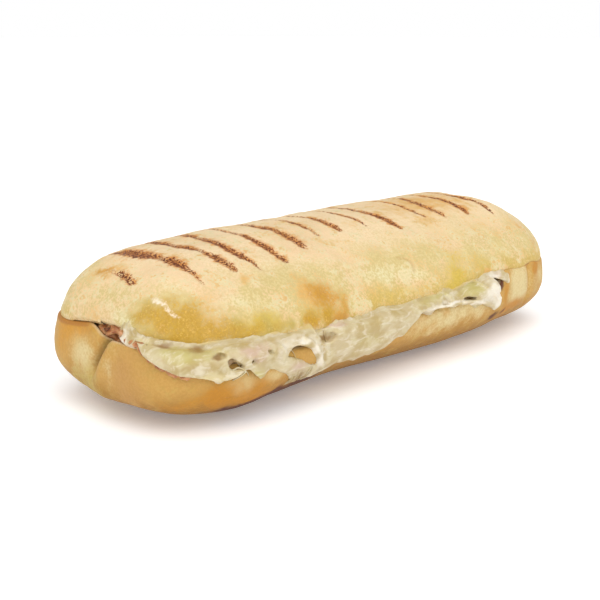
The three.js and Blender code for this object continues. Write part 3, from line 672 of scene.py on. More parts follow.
# spots of paint by kind: middle, half sizes, weight
topSpots = {
    "gold": [
        (-106, -19, 38, 5, 7, 5, 0.7), (-102, -26, 38.5, 6, 6, 5, 1), (-97, -31, 38, 6, 6, 5.5, 1),
        (-91, -35, 35, 7, 7, 4.5, 0.9), (-84, -38, 33.5, 7, 6, 3, 0.7), (-73, -42, 32, 7, 8, 2, 0.6),
        (-54.5, -43, 32.4, 4, 8, 4.4, 0.75), (-46.8, -43, 31.5, 3.2, 8, 5.5, 0.9),
        (-101.5, -31, 32.6, 6, 6, 2.6, 0.8), (-20, 45, 34, 16, 8, 5, 0.7), (75, 40, 33, 9, 9, 4, 0.6),
    ],
    "olive": [
        (-108, -16, 38, 3, 5, 6, 0.6), (-104, -20, 42, 5, 6, 2.4, 0.4), (-104, -22, 34, 5, 6, 1.8, 0.8),
        (-70, -42, 32, 6, 8, 3.4, 0.5), (-75, -42, 33, 2, 8, 4, 0.6), (-65, -43, 31.6, 2.2, 8, 3.2, 0.7),
        (-59, -43, 31.4, 2, 8, 3, 0.7), (-84, -38, 36, 4, 8, 3, 0.5),
    ],
    "yellow": [
        (-66, -43, 32.5, 12, 8, 4.5, 0.3), (-76, -41, 34, 9, 8, 4, 0.6), (25, -44, 31.5, 9, 8, 5.5, 0.9),
        (-10, -45, 33, 14, 8, 3.5, 0.4), (45, -44, 36, 6, 8, 6, 0.4), (5, -45, 31, 8, 8, 3, 0.35),
        (31, -40, 39, 8, 8, 6, 0.5), (60, -42, 40, 10, 8, 6, 0.3), (-70, 42, 34, 12, 8, 5, 0.7),
    ],
    "tan_and_shade": [
        # the first spot is a painted shadow line along the lip, above the cheese
        (47.5, -44, 31.4, 4, 8, 1.6, 0.9), (-52, -38, 39, 5, 8, 6, 0.75),
        (-72.5, -30, 46, 1.8, 4, 3.2, 0.8), (60, -35, 49, 14, 9, 4, 0.45), (84, -33, 45, 9, 9, 5, 0.4),
        (20, -38, 46, 8, 6, 3, 0.3), (50, -12, 56, 34, 20, 6, 0.75), (-101, 3, 52, 3, 5, 4, 0.6),
        (-96, 12, 54, 8, 16, 6, 0.45),
    ],
    "orange": [
        (-43, -38, 38.5, 5.5, 8, 4.2, 0.5), (-47, -40, 36.5, 4.5, 8, 5, 0.8),
        (-38, -41, 33, 3.4, 8, 5.5, 0.7), (-48.5, -38, 40, 2.4, 6, 2.4, 0.6),
        (-55, -43, 31.5, 5, 8, 2.6, 0.7), (-42, -44, 30, 5, 8, 3, 0.8), (92, -36, 36, 7, 10, 4, 0.35),
        (-100.4, 9, 48.5, 2, 4.5, 2.6, 0.9), (40, 44, 35, 12, 8, 5, 0.6),
    ],
    "pale": [
        (-12, -41, 40, 14, 9, 4, 0.6), (5, -42, 38, 6, 8, 3, 0.6), (-107, -10, 36, 4, 7, 5, 0.6),
        (-110, -14, 36.5, 3, 3.6, 4, 0.9), (-80, -36, 42, 10, 6, 4, 0.5), (-30, -38, 45, 9, 6, 3, 0.5),
    ],
}


def halfWidthAt(x, z):
    share = 1 - (np.abs(x) / np.maximum(levelHalfLength(z, x < 0), 1e-6)) ** roll["planPower"]
    return levelHalfWidth(x, z) * np.maximum(share, 0) ** (1 / roll["planPower"])


# Above 0 outside the roll
def outside(x, y, z):
    a = np.maximum(levelHalfLength(z, x < 0), 1e-6)
    b = np.maximum(levelHalfWidth(x, z), 1e-6)
    share = (np.abs(x) / a) ** roll["planPower"] + (np.abs(y) / b) ** roll["planPower"] - 1
    return np.where(z >= roll["crownLevel"], 1.0, share)


# How shut the roll is at a place, 0 where the filling shows
def shutShare(x, y):
    bearing = np.degrees(np.arctan2(y / levelHalfWidth(x, widest), x / levelHalfLength(widest, x < 0))) % 360
    return 1 - openShare(bearing)


# Direction out of the roll in plan
def planNormal(x, y, z):
    power = roll["planPower"] - 1
    nx = np.sign(x) * (np.abs(x) / levelHalfLength(z, x < 0)) ** power / roll["halfLength"]
    ny = np.sign(y) * (np.abs(y) / np.maximum(levelHalfWidth(x, z), 1e-6)) ** power / roll["halfWidth"]
    length = np.hypot(nx, ny) + 1e-9
    return nx / length, ny / length


# Places along the roll that keep their spacing round its ends
def crownStations(form, step):
    x, y = outline(np.linspace(180, 360, 4001), form["planLevel"])
    level = np.linspace(*form["stationLevels"], 3000)
    left, right = -levelHalfLength(level, True), levelHalfLength(level, False)
    fine = np.linspace(-form["stationEnd"], form["stationEnd"], 8000)
    plan = np.interp(fine, x, np.cumsum(np.concatenate([[0], np.hypot(np.diff(x), np.diff(y))])))
    rise = np.interp(fine, left, level) + np.interp(fine, right[::-1], level[::-1])
    travel = np.cumsum(np.concatenate([[0], np.abs(np.diff(plan)) + 0.7 * np.abs(np.diff(rise))]))
    return np.interp(np.linspace(0, travel[-1], int(travel[-1] / step)), travel, fine)


# How scorched each point is, with the browning round the marks and the groove they press
def markPaint(x, y):
    mark, halo, groove = np.full(x.shape, unmarked), np.zeros(x.shape), np.zeros(x.shape)
    for number, stops in enumerate(grillMarks):
        across, place, half, strength = np.array(stops[::-1], float).T
        middle = np.interp(y, across, place) + 0.2 * np.sin(1.1 * y + number)
        width = np.interp(y, across, half) * (1 + 0.16 * np.sin(2.3 * y + 2.1 * number))
        force = np.interp(y, across, strength)
        ends = between(across[0] - 0.6, across[0] + 1.0, across[-1] - 1, across[-1] + 2, y)
        away = np.abs(x - middle) / width
        value = force * ends * (1.25 - 1.1 * away ** 1.6)
        value = value - 0.6 * smoothStep(0.9, 1.6, away) - 0.5 * (1 - ends)
        mark = np.maximum(mark, np.clip(value, unmarked, 1.2))
        halo = np.maximum(halo, ends * force * bump(away, 0, 1.4))
        groove = np.maximum(groove, ends * force ** 0.5 * smoothStep(1.3, 0.1, away))
    return mark, halo, groove


# The crust as a grid of points, lip to lip across the roll at each station along it
def crownSkin(form, step):
    centre = form["centreLevel"]
    turns = np.linspace(0, math.pi, int(form["overCrown"] / step) + 1)
    x, turn = np.meshgrid(crownStations(form, step), turns, indexing="ij")
    power = np.where(x < 0, roll["leftEndPower"], roll["rightEndPower"])
    share = np.maximum(1 - (np.abs(x) / roll["halfLength"]) ** power, 0) ** (1 / power)
    top = mixed(widest, roll["crownLevel"], share)
    across, up = -np.cos(turn), np.sin(turn)
    side = np.where(turn < math.pi / 2, -1, 1) * halfWidthAt(x, centre)
    lip = lipAt(x, side) - form["seamDrop"] * shutShare(x, side)
    rayY = across * halfWidthAt(x, lip)
    rayZ = up * (top - centre) + np.abs(across) ** 3 * (lip - centre)
    near, far = np.zeros(x.shape), np.full(x.shape, 3.0)
    for _ in range(26):    # halves the range in which the skin is met
        middle = (near + far) / 2
        within = outside(x, rayY * middle, centre + rayZ * middle) < 0
        near, far = np.where(within, middle, near), np.where(within, far, middle)
    y, z = rayY * near, centre + rayZ * near
    flat = np.stack([x, y, z], -1).reshape(-1, 3)
    dough = unevenDough(flat, form["dough"])
    _, _, groove = markPaint(x, y)
    rise = crownRelief(x, y, z) - form["grooveDepth"] * groove * smoothStep(38, 46, z)
    rise = rise + dough.reshape(x.shape) * smoothStep(0, 3, z - lip)
    crease = nearLine(flat, form["crease"], form["creaseWidth"]).reshape(x.shape)
    rise = rise - form["creaseDepth"] * crease
    length = np.maximum(np.hypot(y, z - centre), 1e-6)
    scale = 1 + rise * smoothStep(0, 12, length) / length
    return np.stack([x, y * scale, centre + (z - centre) * scale], -1), lip


def buildTopHalf(form, step):
    skin, lip = crownSkin(form, step)
    stations, columns = lip.shape
    last = columns - 1
    faces = [(s * columns + i, s * columns + i + 1, (s + 1) * columns + i + 1, (s + 1) * columns + i)
             for s in range(stations - 1) for i in range(last)]
    leftTip, rightTip = stations * columns, stations * columns + 1
    for i in range(last):
        end = (stations - 1) * columns + i
        faces += [(leftTip, i + 1, i), (rightTip, end, end + 1)]
    tips = np.array([(form["leftTip"], 0, lip[0, 0]), (form["rightTip"], 0, lip[-1, 0])])
    points = np.concatenate([skin.reshape(-1, 3), tips])
    lipLevel = np.concatenate([lip.reshape(-1), tips[:, 2]])
    low = np.clip(1 - (points[:, 2] - lipLevel) / form["lipRise"], 0, 1) ** 2
    nx, ny = planNormal(points[:, 0], points[:, 1], form["planLevel"])
    points[:, 0] -= nx * low * form["lipRoll"]
    points[:, 1] -= ny * low * form["lipRoll"]
    front = [s * columns for s in range(stations)]
    ring = [leftTip, *front, rightTip, *[s + last for s in front[::-1]]]
    rim, size, start = points[ring], len(ring), len(points)
    shut = shutShare(rim[:, 0], rim[:, 1])
    nx, ny = planNormal(rim[:, 0], rim[:, 1], form["rimLevel"])
    rows = []
    for inset, drop, level in form["lipRings"]:
        edge = rim[:, 2] - drop * (1 - form["shutLift"] * shut)
        rows.append(np.stack([rim[:, 0] - nx * inset, rim[:, 1] - ny * inset,
                              mixed(edge, cut["roofLevel"], level)], -1))
    rows += capRings(rows[-1], (0.8, 0.6, 0.4, 0.2, 0.05))
    for k in range(len(rows)):
        here = list(range(start + k * size, start + (k + 1) * size))
        faces += [(ring[i], here[i], here[(i + 1) % size], ring[(i + 1) % size]) for i in range(size)]
        ring = here
    middle = start + len(rows) * size
    faces += [(ring[i], middle, ring[(i + 1) % size]) for i in range(size)]
    points = np.concatenate([points, *rows, [rows[-1].mean(axis=0)]])
    ringNumber = (np.arange(len(points)) - start) // size
    return makePiece("crust_top", points, faces, topCrust, topPaint(form, points, ringNumber))


# The rings under the lip turn from crust to crumb
def topPaint(form, points, ringNumber):
    x, y, z = points.T
    crumb = np.clip((ringNumber - 1) / 3, 0, 1)
    mark, halo, _ = markPaint(x, y)
    onCrown = smoothStep(40, 46, z) * (1 - crumb)
    shut = shutShare(x, y)
    aboveLip = z - lipAt(x, y) + form["seamDrop"] * shut
    crease, crack = nearLine(points, form["crease"], 0.6), nearLine(points, form["crack"], 0.5)
    return {
        **spotPaint(topSpots, points), "mark": mixed(unmarked, mark, onCrown), "halo": halo * onCrown,
        # painted shade along the seam, just above the lip where the roll is shut
        "crumb": crumb * (1 - shut), "seam_shade": shut * smoothStep(1.4, 0.2, aboveLip),
        # painted shade darkens the crease and the crack
        "painted_glint": nearLine(points, form["glint"], 1.3), "fold": np.maximum(0.5 * crease, crack),
    }


topHalf = buildTopHalf(topHalfForm, topHalfForm["step"])
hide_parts("bun_top")
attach(topHalf, "root")
print("top half made:", len(topHalf.data.polygons), "faces")

bottomHalfForm = {
    "step": 0.9, "coarseStep": 1.5, "height": 28, "dense": [(172, 200)], "denseShare": 0.6,
    "dough": [(0.4, 15, 3), (0.12, 4.5, 4), (0.05, 1.6, 8)],
    # the fold at the left end: depth, and how wide it is behind and in front
    "foldDepth": 1.4, "foldWidths": (2.6, 0.7),
    # ways over the rim and in over the cut face
    "inside": [0, -0.6, -1.4, -2.6, -4.2, cut["rimRadius"] - cut["slopeEnd"]],
}
bottomSpots = {
    "gold": [
        (-108, 19, 27, 6, 7, 8, 1), (-110, 12, 31, 4, 6, 3, 0.9), (92, -38, 11, 9, 12, 4, 0.4),
        (-20, -46, 14, 20, 8, 5, 0.5),
    ],
    "orange": [
        (-109, 11, 32, 5, 9, 2.6, 1), (-92, -37, 13, 9, 8, 6, 0.9), (-78, -41, 13, 8, 8, 6, 0.7),
        (-104, -30, 10, 8, 8, 4, 0.5), (-60, -43, 15, 9, 8, 5, 0.5), (67, -44, 14.5, 9, 8, 4, 1),
        (58.5, -46, 21, 2.2, 8, 7, 0.7), (87, -42, 29, 4, 8, 3.4, 1), (-76, -38, 9, 12, 10, 2.5, 0.8),
    ],
    "lobe": [(-111, -16, 18, 6, 10, 14, 0.8)],
    "pale": [
        (-111.5, -8, 22, 4, 4, 7, 0.5), (-111, 9, 20, 5, 8, 9, 0.75), (71, -45, 24, 9, 8, 9, 1),
        (93, -38, 22, 8, 12, 6, 0.6), (20, -48, 19, 30, 8, 6, 0.8), (-72, -43, 16.5, 7, 8, 3, 0.7),
        (-85, -42, 15, 5, 8, 4.4, 0.75),
    ],
    "olive": [(-110, 6, 14, 5, 8, 6, 0.7), (-108, 10, 6, 8, 14, 5, 0.7)],
    # painted shade under the bun, in the slit at the right and under the cheese, with some scorched spots
    "shade_and_scorch": [
        (-80, -34, 4, 14, 12, 4, 1), (-67, -36, 6.5, 10, 12, 3.6, 1), (-54, -37, 8, 9, 12, 5, 1),
        (-47, -43, 13, 5, 6, 7, 0.9), (55.3, -46, 25.6, 1.9, 6, 4, 1),
        (60.5, -44.5, 14, 2.8, 6, 1.6, 0.75), (53.5, -44, 12.8, 3.2, 6, 1.8, 0.9),
    ],
}


def buildBottomHalf(form, step):
    around = evenBearings(step, form["dense"], form["denseShare"] * step)
    size, quarter, down = len(around), math.pi / 2 * cut["rimRadius"], int(form["height"] / step)
    rim = rimAt(around)
    ways = [quarter + (rim - cut["rimRadius"]) * (1 - (k / down) ** 1.25) for k in range(down + 1)]
    ways += [quarter * share for share in (0.75, 0.5, 0.25)] + form["inside"]
    skin = np.stack([bottomSkin(around, way) for way in ways])
    flat = skin.reshape(-1, 3)
    x, y, z = flat.T
    onSkin = np.repeat(smoothStep(down + 4, down - 2, np.arange(len(ways))), size)
    dough = unevenDough(flat, form["dough"])
    foldY = alongLine(foldLine, z)
    leftEnd = smoothStep(-98, -106, x) * smoothStep(14, 20, z)
    fold = leftEnd * bump(y, foldY, np.where(y > foldY, *form["foldWidths"]))
    lobe = leftEnd * bump(y, foldY - 3.2, 3)
    lift = dough * smoothStep(0, 5, z) * onSkin - form["foldDepth"] * fold + 0.5 * lobe * onSkin
    nx, ny = planNormal(x, y, np.minimum(z, widest))
    skin = (flat + np.stack([nx * lift, ny * lift, 0 * x], -1)).reshape(skin.shape)
    shares = (0.05, 0.2, 0.4, 0.6, 0.8, 0.95)
    base, inner = capRings(skin[0], shares), capRings(skin[-1], shares[::-1])
    points, faces = closedRings(base + list(skin) + inner)
    row = np.concatenate([np.repeat(np.arange(len(base) + len(ways) + len(inner)), size), [0, 99]])
    crumb = np.clip((row - len(base) - down - 2) / 3, 0, 1)
    return makePiece("crust_bottom", points, faces, bottomCrust, bottomPaint(points, crumb))


def bottomPaint(points, crumb):
    x, y, z = points.T
    leftEnd = smoothStep(-98, -106, x) * smoothStep(15, 20, z) * (1 - crumb)
    foldY = alongLine(foldLine, z)
    shut = shutShare(x, y)
    rim = lipAt(x, y) - 1
    return {
        **spotPaint(bottomSpots, points), "crumb": crumb * (1 - shut),
        # painted shade along the seam, just under the rim where the roll is shut
        "seam_shade": shut * smoothStep(rim - 2.4, rim - 1, z) * smoothStep(20, -60, x),
        # painted shade beside the fold at the left end
        "fold": leftEnd * bump(y, foldY + 0.8, 1.3),
    }


bottomHalf = buildBottomHalf(bottomHalfForm, bottomHalfForm["step"])
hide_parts("bun_bottom")
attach(bottomHalf, "root")
print("bottom half made:", len(bottomHalf.data.polygons), "faces")


# Height of a layer over the bottom half, from its inside round the rim to its hanging side
def roundRim(inner, side, way):
    over, past = mixed(side, inner, 0.68), mixed(side, inner, 0.3)
    return alongLine([(-1, inner), (0, over), (0.8, past), (1.7, side)], way)


def tableAt(table, bearing):
    return np.interp(bearing, *zip(*table))


def hamEdge(bearing):
    x, y = outline(bearing, widest)
    wave = 0.5 * np.sin(bearing * 0.31) + 0.3 * np.sin(bearing * 0.73 + 1)
    way = cut["rimRadius"] - filling["hamInset"] - wave - 1.2 * sagAt(x, y)
    reach = tableAt(hamReach, np.minimum(bearing, 198)) - 1.3 * smoothStep(198, 203, bearing)
    corner = np.minimum(way, reach)
    plain = mixed(closed, way, openShare(bearing, 8))
    return np.where((bearing > 168) & (bearing < 240), corner, plain)


def upperHamEdge(bearing):
    reach = tableAt(hamReach, bearing) + 0.35 * np.sin(2.1 * bearing) + 0.25 * np.sin(4.7 * bearing)
    return np.where((bearing > 169) & (bearing < 233), reach, hamEdge(bearing))


# Rows of a layer that lies on the bottom half, from the inside out to its edge
def layerRows(around, edge, gapAt, rimWays, sideShares, crowd=0.06):
    ways = [np.full(len(around), float(way)) for way in rimWays]
    ways += [mixed(rimWays[-1], edge, share) for share in sideShares]
    last = len(ways) - 1
    rows = []
    for k, way in enumerate(ways):
        way = np.minimum(way, edge - crowd * (last - k)) if k else way
        rows.append(draped(around, way, gapAt(around, way, k == last)))
    return rows


# ways and shares of the way to the edge at which each slice is drawn, lower slice first
hamWays = [
    ([cut["innerWay"], -8.7, -6.4], [0.4, 0.7, 0.93, 1]),
    ([cut["innerWay"], -8.7, -6.4, -4.5, -3, -1.8, -1, -0.4, 0.2, 0.7, 1.2], [0.4, 0.75, 0.93, 1]),
]


def buildHam(name, level, edgeAt):
    around = evenBearings(2.5, [(168, 240)], 0.8)
    inner = filling["gap"] + level * (filling["gap"] + filling["ham"])

    def inSlit(bearing):
        return between(169, 173, 193, 198, bearing)

    def under(bearing, way, atEdge):
        wave = 0.25 * np.sin(bearing * 0.8 + 2 * level) * smoothStep(-5, -1, way)
        return roundRim(inner, filling["gap"], way) + wave + 1.3 * level * inSlit(bearing)

    def over(bearing, way, atEdge):
        thick = filling["ham"] + 1.4 * inSlit(bearing)
        return under(bearing, way, atEdge) + (0.5 if atEdge else 1.0) * thick

    edge = edgeAt(around)
    bottom, top = [layerRows(around, edge, gapAt, *hamWays[level]) for gapAt in (under, over)]
    caps = (0.05, 0.3, 0.6, 0.9)
    rows = capRings(bottom[0], caps) + bottom + top[::-1] + capRings(top[0], caps[::-1])
    return makePiece(name, *closedRings(rows), ham)


lowerHam = buildHam("ham_slice_lower", 0, hamEdge)
upperHam = buildHam("ham_slice_upper", 1, upperHamEdge)
for piece, node in ((lowerHam, "ham_lower"), (upperHam, "ham_upper")):
    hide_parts(node)
    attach(piece, "root")
print("ham made")

cheeseForm = {
    "voxel": 0.42, "coarseVoxel": 0.6, "bulge": 0.5, "tipBearing": 195,
    "streaks": 0.18,
    # places across: in front of the first, cheese is pressed in; ropes are cast from the second and
    # lie on what they meet before the third
    "pressFrom": -30, "castFrom": -90, "castLimit": -36,
    # ways and shares of the way to the edge at which the band is drawn
    "ways": [-6.4, -4.5, -2.8, -1.6, -0.9, -0.3, 0.3, 0.8, 1.3, 1.9, 2.6],
    "shares": [0.12, 0.25, 0.37, 0.5, 0.62, 0.74, 0.86, 0.95, 1],
    # sheet under the lip: shares of the rise and of the way down, and how far it stands out there
    "sheetBearings": (193, 298.6), "sheetThickness": 1.5,
    "sheetUp": [(1, -0.3), (0.6, 0.28), (0.15, 0.4)],
    "sheetDown": [(0.3, 0.15), (0.6, 0.35), (0.85, 0.3), (1, -0.1)],
    # openings through the hanging film: corners along the roll and up, how deep they go
    "openings": [
        ([(-67.6, 22.4), (-66.8, 24.5), (-64, 25), (-61, 24.2), (-57.6, 22.7), (-54.9, 19.6), (-53, 16.2),
          (-56.4, 17), (-59.6, 18.8), (-62.6, 20.4)], 38),
        ([(-96.6, 28), (-94.6, 28.3), (-92.7, 27.8), (-92.3, 26.6), (-94.2, 26.3), (-96, 26.8)], 39.6),
        ([(-92.2, 25.6), (-90.4, 26), (-88.4, 24.5), (-86.6, 22.5), (-89.2, 22.2), (-91.6, 23.2)], 41.2),
        ([(-77.4, 26.2), (-75.6, 26), (-74.2, 24.5), (-76.4, 25)], 43.4),
        ([(-83.9, 24), (-82, 24.3), (-81, 23.1), (-82.8, 22.6)], 43.2),
        ([(25.6, 24.9), (29, 25.3), (33, 24.6), (37.6, 23.2), (33, 23.6), (29, 24.2)], 44.4),
        ([(-53.4, 26.2), (-50, 26.4), (-46, 26), (-46.8, 23.6), (-51, 23.2)], 44.2),
        ([(49.9, 28.4), (50.4, 26.4), (51.7, 24), (53.2, 21.4), (54, 19.8), (53.8, 16), (53, 12),
          (70, 12), (70, 20), (58, 26), (52.6, 28.4)], 38),
    ],
    # narrow slits up from the edge of the film: place along the roll, top, half width
    "slits": [(-52.6, 14.6, 0.9), (-46.8, 16.5, 1.0), (47, 18, 1.1)], "slitLength": 14, "slitDepth": 36,
}
# how far the cheese is smeared up over the lip, by direction
smearRise = [
    (190, 0.1), (194, 0.4), (196.4, 3), (197.6, 1.8), (199.4, 3.8), (202.2, 2.2), (204.2, 0.5),
    (209, 0.6), (213, 0), (219.8, 0), (222.5, 1), (225.3, 1.3), (229.3, 0.6), (231.1, 0.1), (232.5, 0.7),
    (233.9, 0.1), (235.2, 1.2), (236.6, 1.6), (238.2, 0.1), (240.1, 0), (241.4, 1.6), (242.4, 3.7),
    (243.2, 1.4), (243.8, 0), (246, 0.2), (260, 0.7), (271.6, 0.6), (277.7, 1.2), (284.8, 1.6),
    (290.5, 0.7), (299, 0.3),
]
cheeseSpots = {
    "white": [
        (-110, -13, 31.5, 3, 3, 3, 0.8), (52, -46, 30, 5, 6, 1.6, 0.8),
        (-70.5, -46, 25.2, 2.6, 6, 4.2, 0.45), (-61, -46, 26.6, 7, 6, 1.4, 0.6),
        (-55.5, -46, 23, 2.2, 7, 3, 0.8), (-52, -46, 17, 1.8, 7, 4, 0.8), (46, -48, 25, 6, 8, 4, 1),
        (51, -48, 20, 4, 8, 5, 0.9), (16, -48, 24.4, 16, 6, 0.9, 0.8), (35, -48, 21.8, 7, 8, 1.2, 0.8),
    ],
    "pink": [
        (-110.5, -12.6, 31, 3, 2, 1.4, 0.7), (-82, -44, 27, 8, 6, 2.4, 0.7),
        (-80, -44, 23.6, 3, 6, 1.4, 0.6), (-112, -18, 29.6, 3, 5, 1, 0.8), (-45, -46, 28, 7, 6, 1, 0.7),
        (-62, -44, 17, 5, 6, 3, 0.6), (53, -45, 30, 4, 6, 2, 0.7),
    ],
    "cream": [
        (-97, -40, 20.5, 7, 6, 2, 0.9), (-89, -42, 19.6, 4, 6, 1.6, 0.9), (-108, -22, 31, 3, 6, 1.6, 0.7),
    ],
    # painted shade in the gaps under the lip of the top half, in the openings and in the slits
    "tan_and_shade": [
        (-89.4, -40.6, 24.2, 3, 1.9, 1.6, 1), (32, -44, 24.4, 7, 2.2, 1.4, 1),
        (-106, -28, 31, 2.4, 4, 1.2, 1), (-99.6, -35, 29.6, 3.4, 4, 1.2, 1),
        (-94.4, -40.6, 27.3, 2.2, 3, 0.9, 1), (-59, -42, 12, 4, 7, 3.6, 0.7),
        (-49.8, -44, 24.8, 4, 6, 1.4, 0.9), (-51, -43, 13, 1.6, 6, 3, 0.45), (5, -47, 22, 8, 8, 3, 0.4),
        (53.4, -47, 26.4, 1.4, 6, 2.4, 0.8),
    ],
    "green": [
        (-105, -34, 29, 6, 7, 2.4, 0.9), (-96, -38, 28.6, 8, 7, 2.2, 0.6),
        (33, -47, 27.5, 7, 7, 2.4, 0.9), (-82, -45, 19, 5, 6, 2, 0.8), (-30, -46, 20, 9, 7, 4, 0.4),
        (10, -48, 28, 14, 7, 2.4, 0.7),
    ],
}


def cheeseEdge(bearing):
    fringe = 0.6 * np.sin(bearing * 0.9) + 0.5 * np.sin(bearing * 1.7 + 2)
    fringed = between(219, 224, 292, 296, bearing)
    front = tableAt(cheeseReach, bearing) + fringe * fringed
    tip = cheeseForm["tipBearing"]
    front = mixed(closed, front + 0.9 * bump(bearing, 210, 6), smoothStep(tip - 2, tip + 3, bearing))
    drip = 2.8 + 1.6 * np.sin(bearing * 0.4) + fringe
    return np.where(bearing < 172, mixed(closed, drip, openShare(bearing, 8)), front)


def roofAt(x, y, inset):
    lip = lipAt(x, y)
    low = lip - 1.5
    risen = mixed(low, cut["roofLevel"], 0.7)
    return alongLine([(0.6, lip - 0.9), (2.2, low), (7, risen), (12, cut["roofLevel"])], inset)


def cheeseUnder(bearing, way, atEdge=False):
    flap = between(197, 201, 232, 236, bearing)
    overHam = filling["gap"] + 2 * (filling["gap"] + filling["ham"])
    inner = mixed(filling["gap"], overHam, np.maximum(openShare(bearing, 6), smoothStep(-1.5, -6, way)))
    side = 1.85 * flap - 0.5 + 0.03 * np.maximum(0, way - 2)
    return roundRim(inner, side, way)


def cheeseOver(bearing, way, atEdge=False):
    x, y = outline(bearing, widest)
    inside = np.minimum(way, 0)
    skin = bottomSkin(bearing, inside)[..., 2]
    squeezed = cheeseForm["bulge"] * openShare(bearing, 3) * smoothStep(-5, -1, way)
    filled = roofAt(x, y, cut["rimRadius"] - inside) - 0.4 - skin + squeezed
    under = np.maximum(cheeseUnder(bearing, way), 0)
    hanging = under + 0.75 + 0.25 * np.sin(bearing * 0.55 + 0.5 * way) * smoothStep(2, 6, way)
    over = mixed(filled, hanging, smoothStep(0.3, 2.8, way))
    if not atEdge:
        return over
    return np.minimum(over, under + 0.25 + 0.5 * (over - under - 0.25) * smoothStep(4, 0, way))


def lineNoise(v, row):
    return noise.noise(Vector((v, row, 0)))


# The sheet from the lip of the top half down to the rim, smeared a little up over the lip
def cheeseSheet(form):
    tree = surfaceTree([topHalf])
    start, end = form["sheetBearings"]
    rings = []
    for bearing in evenBearings(0.9):
        if not start < bearing < end:
            continue
        x, y = outline(bearing, widest)
        lip, rim, low = float(lipAt(x, y)), float(rimAt(bearing)), bottomSkin(bearing, 1.2)
        closing = float(between(start, start + 4, end - 4, end, bearing))
        tip = float(smoothStep(start - 1, start + 7, bearing))
        ragged = 0.9 * lineNoise(0.9 * bearing, 3) + 0.7 * lineNoise(2.3 * bearing, 7)
        rise = max(float(tableAt(smearRise, bearing)) + ragged, 0.05) * closing
        thick = 0.4 + 0.25 * lineNoise(0.35 * bearing, 0)
        corners = []
        for level, proud in [(share * rise, proud) for share, proud in form["sheetUp"]] + [(-0.5, thick)]:
            onCrust = lip + max(level, 0.4)
            x, y = outline(bearing, onCrust)
            nx, ny = planNormal(x, y, onCrust)
            hit = tree.ray_cast(Vector((x + 5 * nx, y + 5 * ny, onCrust)), Vector((-nx, -ny, 0)), 9)[0]
            x, y = (hit.x, hit.y) if hit else (x, y)
            corners.append((x + nx * proud, y + ny * proud, lip + level, nx, ny))
        x, y, _, nx, ny = corners[-1]
        for share, proud in form["sheetDown"]:
            corners.append((mixed(x, low[0], share) + nx * proud, mixed(y, low[1], share) + ny * proud,
                            mixed(lip - 0.5, rim - 0.6, share), nx, ny))
        middle = mixed(lip, rim, 0.55)
        corners = [(x, y, mixed(middle, z, tip) if z < lip else z, nx, ny) for x, y, z, nx, ny in corners]
        back = form["sheetThickness"]
        inner = [(x - back * nx, y - back * ny, z) for x, y, z, nx, ny in corners[1:]]
        rings.append(np.array([corner[:3] for corner in corners] + inner[::-1]))
    return closedRings(rings)


# A smooth line through corners, open or closed
def smoothLine(corners, cuts, ring=False):
    p = np.array(corners, float)
    before, after = (p[-1:], p[:2]) if ring else ([2 * p[0] - p[1]], [2 * p[-1] - p[-2]])
    p = np.concatenate([before, p, after])
    t = np.arange(cuts)[:, None] / cuts
    spans = []
    for a, b, c, d in zip(p, p[1:], p[2:], p[3:]):
        bend, twist = 2 * a - 5 * b + 4 * c - d, 3 * b - a - 3 * c + d
        spans.append(0.5 * (2 * b + (c - a) * t + bend * t ** 2 + twist * t ** 3))
    return np.concatenate(spans if ring else spans + [p[-2:-1]])


def withinLine(x, z, corners):
    inside = np.zeros(len(x), bool)
    for (x0, z0), (x1, z1) in zip(corners, np.roll(corners, -1, 0)):
        inside ^= ((z0 > z) != (z1 > z)) & (x < (x1 - x0) * (z - z0) / (z1 - z0 + 1e-12) + x0)
    return inside


# Opens the film at the front: what lies in an opening is pressed back behind the bread or the sheet
def pressOpenings(points, form):
    x, y, z = points.T
    openings = [(smoothLine(corners, 4, True), stop) for corners, stop in form["openings"]]
    for middle, top, half in form["slits"]:
        low = top - form["slitLength"]
        corners = np.array([(middle - half, low), (middle + half, low), (middle, top)], float)
        openings.append((corners, form["slitDepth"]))
    front = y < form["pressFrom"]
    for corners, stop in openings:
        y = np.where(front & withinLine(x, z, corners), np.maximum(y, -stop), y)
    return np.stack([x, y, z], -1)


